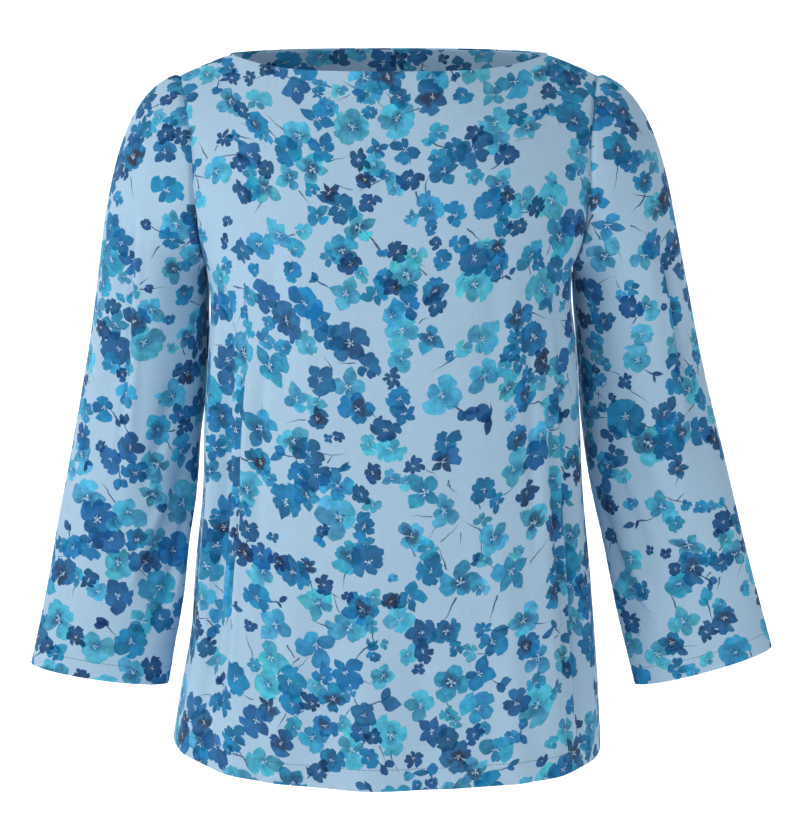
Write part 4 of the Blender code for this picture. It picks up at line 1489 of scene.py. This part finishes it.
def strokeTree():
    tree, n, given, made = newGroup("paintedStroke", [
        ("Under", "Color"), ("Place", "Vector"), ("Start and Turn", "Vector"), ("Length", "Float"),
        ("Form", "Vector"),
    ], [("Colour", "Color")])
    x, y, turn = n.split(n.vector("SUBTRACT", given["Place"], given["Start and Turn"]))
    rotated = n.fed("ShaderNodeVectorRotate", {
        "Vector": n.join(x, y), "Angle": turn}, rotation_type="Z_AXIS")[0]
    bend, width, tone = n.split(given["Form"])
    along, aside, _ = n.split(rotated)
    share = n.math("DIVIDE", along, n.math("MAXIMUM", given["Length"], 0.00001))
    gone = n.math("ABSOLUTE", n.minus(aside, n.times(share, share, bend, given["Length"])))
    thinner = n.math("POWER", n.math("ABSOLUTE", share), strokes["taper"])
    thick = n.times(width, n.minus(1.0, thinner, clamp=True))
    mask = n.step(n.minus(thick, gone), *strokes["softEdge"])
    mask = n.times(mask, n.step(share, 0.0, strokes["softStart"]))
    colour = n.mix(tone, paletteColour("ink"), paletteColour("navy"))
    tree.links.new(n.mix(n.times(mask, strokes["cover"]), given["Under"], colour), made["Colour"])
    return tree


weave = {
    "wobble": 0.0042,         # how far the painted edges stray, and the scale and detail of it
    "wobbleNoise": (75.0, 2.0),
    "mottleNoise": (110.0, 3.0, 0.62),    # scale, detail and roughness
    "threads": 0.00066,       # from one thread to the next
    "bump": 0.00006,
    "slubLength": 0.022,
    "slubWidth": 0.8,         # slubs to each thread's width
    "slub": 0.10,             # how much the slubs change the colour
    "bumpStrength": 0.35,
    "roughness": 0.86,
    "sheen": 0.05,
    "sheenRoughness": 0.5,
    "shine": 0.12,
    "reverseFade": 0.6,       # how far the print fades on the reverse side
}


def slubNoise(n, along, across):
    place = n.join(n.times(along, 1 / weave["slubLength"]),
                   n.times(across, weave["slubWidth"] / weave["threads"]))
    return n.noise(place, 1.0, 1.0)["Fac"]


def groundTree():
    # what all the paint shares: the strayed place, the mottled paint, the threads and the strokes
    stroke = strokeTree()
    tree, n, given, made = newGroup("printGround", [("Place", "Vector")], [
        ("Colour", "Color"), ("Place", "Vector"), ("Mottle", "Color"), ("Pool", "Float"),
        ("Shade", "Float"), ("Weave", "Float")])
    wobble = weave["wobble"]
    stray = n.noise(given["Place"], *weave["wobbleNoise"])["Color"]
    place = n.vector("MULTIPLY_ADD", stray, (wobble, wobble, 0.0), (-wobble / 2, -wobble / 2, 0.0))
    place = n.vector("ADD", given["Place"], place)
    mottled = n.noise(given["Place"], *weave["mottleNoise"])
    mottle = n.vector("MULTIPLY_ADD", mottled["Color"], *paint["mottle"])
    colour = paletteColour("ground")
    for number in range(arrangement["strokeSlots"]):
        where, form = (n.attribute(f"stroke{number}part{part}") for part in range(2))
        colour = n.fed("ShaderNodeGroup", {
            "Under": colour, "Place": place, "Start and Turn": where["Color"], "Length": where["Alpha"],
            "Form": form["Color"]}, node_tree=stroke)["Colour"]
    x, y, _ = n.split(given["Place"])
    slubs = n.minus(n.plus(slubNoise(n, x, y), slubNoise(n, y, x)), 1.0)
    perMetre = 2 * math.pi / weave["threads"]
    threads = [n.math("SINE", n.times(way, perMetre)) for way in (x, y)]
    for label, value in (("Colour", colour), ("Place", place), ("Mottle", mottle),
                         ("Pool", n.minus(mottled["Fac"], 0.5)),
                         ("Shade", n.math("MULTIPLY_ADD", slubs, weave["slub"], 1.0)),
                         ("Weave", n.math("MULTIPLY_ADD", slubs, 2.0, n.times(*threads)))):
        tree.links.new(value, made[label])
    return tree


def clothMaterial(name, ground, flower, fade):
    # one shader for each number of flowers that cross a face, so that only those are painted
    material = bpy.data.materials.new(name)
    material.use_nodes = True
    n = Nodes(material.node_tree)
    first = material.node_tree.nodes["Principled BSDF"]
    finish = material.node_tree.nodes["Material Output"]
    place = n.add("ShaderNodeUVMap", uv_map="clothPlace").outputs["UV"]
    base = n.fed("ShaderNodeGroup", {"Place": place}, node_tree=ground)
    bump = n.fed("ShaderNodeBump", {"Strength": weave["bumpStrength"], "Distance": weave["bump"],
                                    "Height": base["Weave"]})
    count = n.attribute("motifCount")["Fac"]
    colour = base["Colour"]
    shaders = []
    for number in range(arrangement["motifSlots"] + 1):
        if number:
            where, form, tint = (n.attribute(f"motif{number - 1}part{part}") for part in range(3))
            colour = n.fed("ShaderNodeGroup", {
                "Under": colour, "Place": base["Place"], "Mottle": base["Mottle"], "Pool": base["Pool"],
                "Centre and Turn": where["Color"], "Radius": where["Alpha"], "Form": form["Color"],
                "Notch": form["Alpha"], "Tint": tint["Color"], "Dark Centre": tint["Alpha"],
            }, node_tree=flower)["Colour"]
        shader = n.add("ShaderNodeBsdfPrincipled") if number else first
        shown = n.mix(fade, colour, paletteColour("ground")) if fade else colour
        shaded = n.scaled(shown, base["Shade"])
        for label, value in (("Base Color", shaded), ("Roughness", weave["roughness"]),
                             ("Sheen Weight", weave["sheen"]), ("Sheen Roughness", weave["sheenRoughness"]),
                             ("Specular IOR Level", weave["shine"]), ("Normal", bump["Normal"])):
            n.give(shader.inputs[label], value)
        shaders.append(shader.outputs["BSDF"])
    shown = shaders[-1]
    for number in range(arrangement["motifSlots"] - 1, -1, -1):
        more = n.math("GREATER_THAN", count, number + 0.5)
        shown = n.fed("ShaderNodeMixShader", {0: more, 1: shaders[number], 2: shown})[0]
    n.give(finish.inputs["Surface"], shown)
    return material


def plainMaterial(name, values):
    material = bpy.data.materials.new(name)
    material.use_nodes = True
    for label, value in values.items():
        material.node_tree.nodes["Principled BSDF"].inputs[label].default_value = value
    return material


def stitchTree():
    # a path in, one rounded stitch every stitch length, lying along the path
    tree, n, given, made = newGroup("stitchesAlongPath", [
        ("Geometry", "Geometry"), ("Stitch Length", "Float"), ("Thread", "Float"), ("Jitter", "Float"),
        ("Seed", "Int"), ("Material", "Material"),
    ], [("Geometry", "Geometry")], "GeometryNodeTree")
    points = n.fed("GeometryNodeResampleCurve", {
        "Curve": given["Geometry"], "Length": given["Stitch Length"]}, mode="LENGTH")["Curve"]
    bead = n.fed("GeometryNodeMeshUVSphere", {
        "Segments": stitches["segments"], "Rings": stitches["rings"], "Radius": 0.5})["Mesh"]
    tangent = n.add("GeometryNodeInputTangent").outputs["Tangent"]
    turn = n.fed("FunctionNodeAlignRotationToVector", {"Vector": tangent}, axis="Z")["Rotation"]
    vary = n.fed("FunctionNodeRandomValue", {
        2: n.minus(1.0, given["Jitter"]), 3: n.plus(1.0, given["Jitter"]),
        "Seed": given["Seed"]}, data_type="FLOAT")[1]
    long = n.times(given["Stitch Length"], stitches["filled"], vary)
    size = n.join(given["Thread"], given["Thread"], long)
    placed = n.fed("GeometryNodeInstanceOnPoints", {
        "Points": points, "Instance": bead, "Rotation": turn, "Scale": size})["Instances"]
    real = n.fed("GeometryNodeRealizeInstances", {"Geometry": placed})["Geometry"]
    smooth = n.fed("GeometryNodeSetShadeSmooth", {"Geometry": real})["Geometry"]
    finish = n.fed("GeometryNodeSetMaterial", {"Geometry": smooth, "Material": given["Material"]})
    tree.links.new(finish["Geometry"], made["Geometry"])
    return tree


def placeObject(name, data):
    made = bpy.data.objects.new(name, data)
    bpy.context.scene.collection.objects.link(made)
    return made


def stitchRow(name, paths, tree, thread):
    curve = bpy.data.curves.new(name + "Path", "CURVE")
    curve.dimensions = "3D"
    for path in paths:
        spline = curve.splines.new("POLY")
        spline.points.add(len(path) - 1)
        spline.points.foreach_set("co", np.hstack([path, np.ones((len(path), 1))]).ravel())
    guide = placeObject(name + "Path", curve)
    modifier = guide.modifiers.new("stitches", "NODES")
    modifier.node_group = tree
    values = {"Stitch Length": stitches["length"], "Thread": stitches["thread"],
              "Jitter": stitches["jitter"], "Seed": stitches["seed"], "Material": thread}
    for item in tree.interface.items_tree:
        if item.item_type == "SOCKET" and item.in_out == "INPUT" and item.name in values:
            modifier[item.identifier] = values[item.name]
    graph = bpy.context.evaluated_depsgraph_get()
    mesh = bpy.data.meshes.new_from_object(guide.evaluated_get(graph))
    mesh.name = name
    guide.modifiers.remove(modifier)
    bpy.data.objects.remove(guide)
    bpy.data.curves.remove(curve)
    return placeObject(name, mesh)


def addSheet(sheet, materials):
    mesh = sheetMesh(sheet)
    flowers, brushed = printOnMesh(mesh, printSeeds[sheet.name])
    print(f"{sheet.name}: {flowers} flowers and leaves, {brushed} strokes")
    for material in materials:
        mesh.materials.append(material)
    return placeObject(sheet.name, mesh)


# Building the pieces
across, shoulderCount = panelAcross()
down, armholeRow = panelDown()
neckLeft = shoulderCount
neckRight = shoulderCount + grid["neckColumns"]
shares = down[:armholeRow + 1]
front, back = (makePanelSheet(panel, across, down) for panel in (frontPanel, backPanel))
joinShouldersAndSides(front, back, neckLeft, neckRight, armholeRow)
sleeves = []
for sleeve in (sleeveLeft, sleeveRight):
    sleeves.append(makeSleeveSheet(sleeve, shares))
    joinSleeve(front, back, sleeves[-1], sleeve["side"], grid["capRows"])
backFacing = makeFacing(back, neckLeft, neckRight, int(np.searchsorted(down, grid["facingDown"])))
stitchPaths = {
    "frontHemStitches": finishPanel(front, frontPanel, neckLeft, neckRight, armholeRow),
    "backHemStitches": finishPanel(back, backPanel, neckLeft, neckRight, armholeRow),
    "cuffStitchesLeft": finishSleeve(sleeves[0], sleeveLeft),
    "cuffStitchesRight": finishSleeve(sleeves[1], sleeveRight),
}
print("cloth worked out")

# Each piece of cloth: the solid it stands for, its cut, what it hangs on and its stitches
pieceRows = rowsOf("name sheet standsFor slot flat area restsOn stitches", [
    ("frontPanel", front, "front", "printed_cotton", (0.565, 0.720), 0.332,
     ["backPanel"], ["frontHemStitches"]),
    ("backPanel", back, "back", "printed_cotton", (0.552, 0.706), 0.313,
     ["frontPanel"], ["backHemStitches"]),
    ("sleeveLeft", sleeves[0], "sleeve_left", "printed_cotton", (0.352, 0.590), 0.172,
     ["frontPanel", "backPanel"], ["cuffStitchesLeft"]),
    ("sleeveRight", sleeves[1], "sleeve_right", "printed_cotton", (0.360, 0.590), 0.173,
     ["frontPanel", "backPanel"], ["cuffStitchesRight"]),
    ("backNeckFacing", backFacing, "back_neck_facing", "facing_cotton", (0.313, 0.055), 0.0131,
     ["backPanel"], []),
])
groundNodes, flowerNodes = groundTree(), flowerTree()
cottons = [clothMaterial("printedCotton", groundNodes, flowerNodes, 0.0),
           clothMaterial("reverseCotton", groundNodes, flowerNodes, weave["reverseFade"])]
pieces = {}
for row in pieceRows:
    row["sheet"].name = row["name"]
    pieces[row["name"]] = addSheet(row["sheet"], cottons)
sizes = (f"{name} {2 * len(piece.data.polygons)}" for name, piece in pieces.items())
print("sheets made:", ", ".join(sizes))

thread = plainMaterial("threadCotton", {
    "Base Color": stitches["colour"], "Roughness": stitches["roughness"]})
tree = stitchTree()
stitchPieces = {name: stitchRow(name, path, tree, thread) for name, path in stitchPaths.items()}
print("stitches made:", sum(len(piece.data.polygons) for piece in stitchPieces.values()), "faces")

for row in pieceRows:
    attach(pieces[row["name"]], "root")
    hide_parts(row["standsFor"])
for piece in stitchPieces.values():
    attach(piece, "root")


# Studio: a pale round sweep, a soft key from the left of the picture, a weak fill
studio = {
    "floorHeight": -1.5,
    "floorRadius": 4.2,
    "middle": 0.0001,         # radius of its small middle face
    "halfway": 0.5,           # place of the ring between, as a share of the floor's radius
    "curve": 1.3,
    "wallTop": 3.2,
    "turns": 96,              # faces round it, and up its curve
    "curveSteps": 10,
    "colour": (0.90, 0.91, 0.92, 1.0),
    "roughness": 0.9,
    "glow": 0.21,
    "worldColour": (0.93, 0.95, 1.0, 1.0),
    "worldStrength": 0.055,
}


def makeSweep():
    profile = [(studio["middle"], 0.0), (studio["floorRadius"] * studio["halfway"], 0.0)]
    for step in range(studio["curveSteps"] + 1):
        angle = math.pi / 2 * step / studio["curveSteps"]
        profile.append((studio["floorRadius"] + studio["curve"] * math.sin(angle),
                        studio["curve"] * (1 - math.cos(angle))))
    profile.append((profile[-1][0], studio["wallTop"] - studio["floorHeight"]))
    turns = studio["turns"]
    ways = [pointing(2 * math.pi * i / turns) for i in range(turns)]
    work = bmesh.new()
    rings = [[work.verts.new((*(radius * way), studio["floorHeight"] + height)) for way in ways]
             for radius, height in profile]
    for low, high in zip(rings, rings[1:]):
        for i in range(turns):
            j = (i + 1) % turns
            work.faces.new((low[i], high[i], high[j], low[j]))
    work.faces.new(rings[0])
    bmesh.ops.recalc_face_normals(work, faces=work.faces)
    mesh = bpy.data.meshes.new("studioSweep")
    work.to_mesh(mesh)
    work.free()
    mesh.flip_normals()
    mesh.shade_smooth()
    mesh.materials.append(plainMaterial("paleSweep", {
        "Base Color": studio["colour"], "Roughness": studio["roughness"],
        "Emission Color": studio["colour"], "Emission Strength": studio["glow"]}))
    return placeObject("studioSweep", mesh)


makeSweep()

# name, place, what it points at, size across and up, power, colour
lights = (
    ("keyLight", (-2.3, -1.8, 2.0), (0.0, 0.0, -0.2), 1.2, 1.5, 60.0, (1.0, 0.985, 0.96)),
    ("frontLight", (-0.6, -3.4, 1.0), (0.0, 0.0, -0.3), 2.2, 1.6, 4.0, (1.0, 0.99, 0.98)),
    ("fillLight", (2.8, -1.6, 0.6), (0.0, 0.0, -0.3), 1.6, 2.0, 0.8, (0.94, 0.97, 1.0)),
    ("backLight", (0.4, 3.0, 1.8), (0.0, 0.0, -0.3), 2.4, 2.0, 16.0, (1.0, 1.0, 1.0)),
    ("wallLight", (0.0, 2.0, 2.6), (0.0, 5.4, -1.0), 3.0, 0.8, 170.0, (1.0, 1.0, 1.0)),
)
for name, place, aim, wide, tall, power, colour in lights:
    light = bpy.data.lights.new(name, "AREA")
    light.shape = "RECTANGLE"
    light.size, light.size_y = wide, tall
    light.energy = power
    light.color = colour
    lamp = placeObject(name, light)
    lamp.location = place
    lamp.rotation_euler = (Vector(aim) - Vector(place)).to_track_quat("-Z", "Y").to_euler()

world = bpy.data.worlds.new("studioWorld")
world.use_nodes = True
world.node_tree.nodes["Background"].inputs["Color"].default_value = studio["worldColour"]
world.node_tree.nodes["Background"].inputs["Strength"].default_value = studio["worldStrength"]
bpy.context.scene.world = world
bpy.context.scene.view_settings.view_transform = "Standard"

# The picture was taken 2.1 m away, a little above the neckline, looking down 9.7 degrees
picture = {
    "place": (0.0098, -2.10, 0.030),
    "lookDown": 9.698,
    "sensor": 36.0,
    "lens": 100.54,
}
camera = bpy.data.cameras.new("camera")
camera.sensor_width = picture["sensor"]
camera.lens = picture["lens"]
cameraObject = placeObject("camera", camera)
cameraObject.location = picture["place"]
cameraObject.rotation_euler = (math.radians(90.0 - picture["lookDown"]), 0.0, 0.0)
bpy.context.scene.camera = cameraObject
print("studio made")
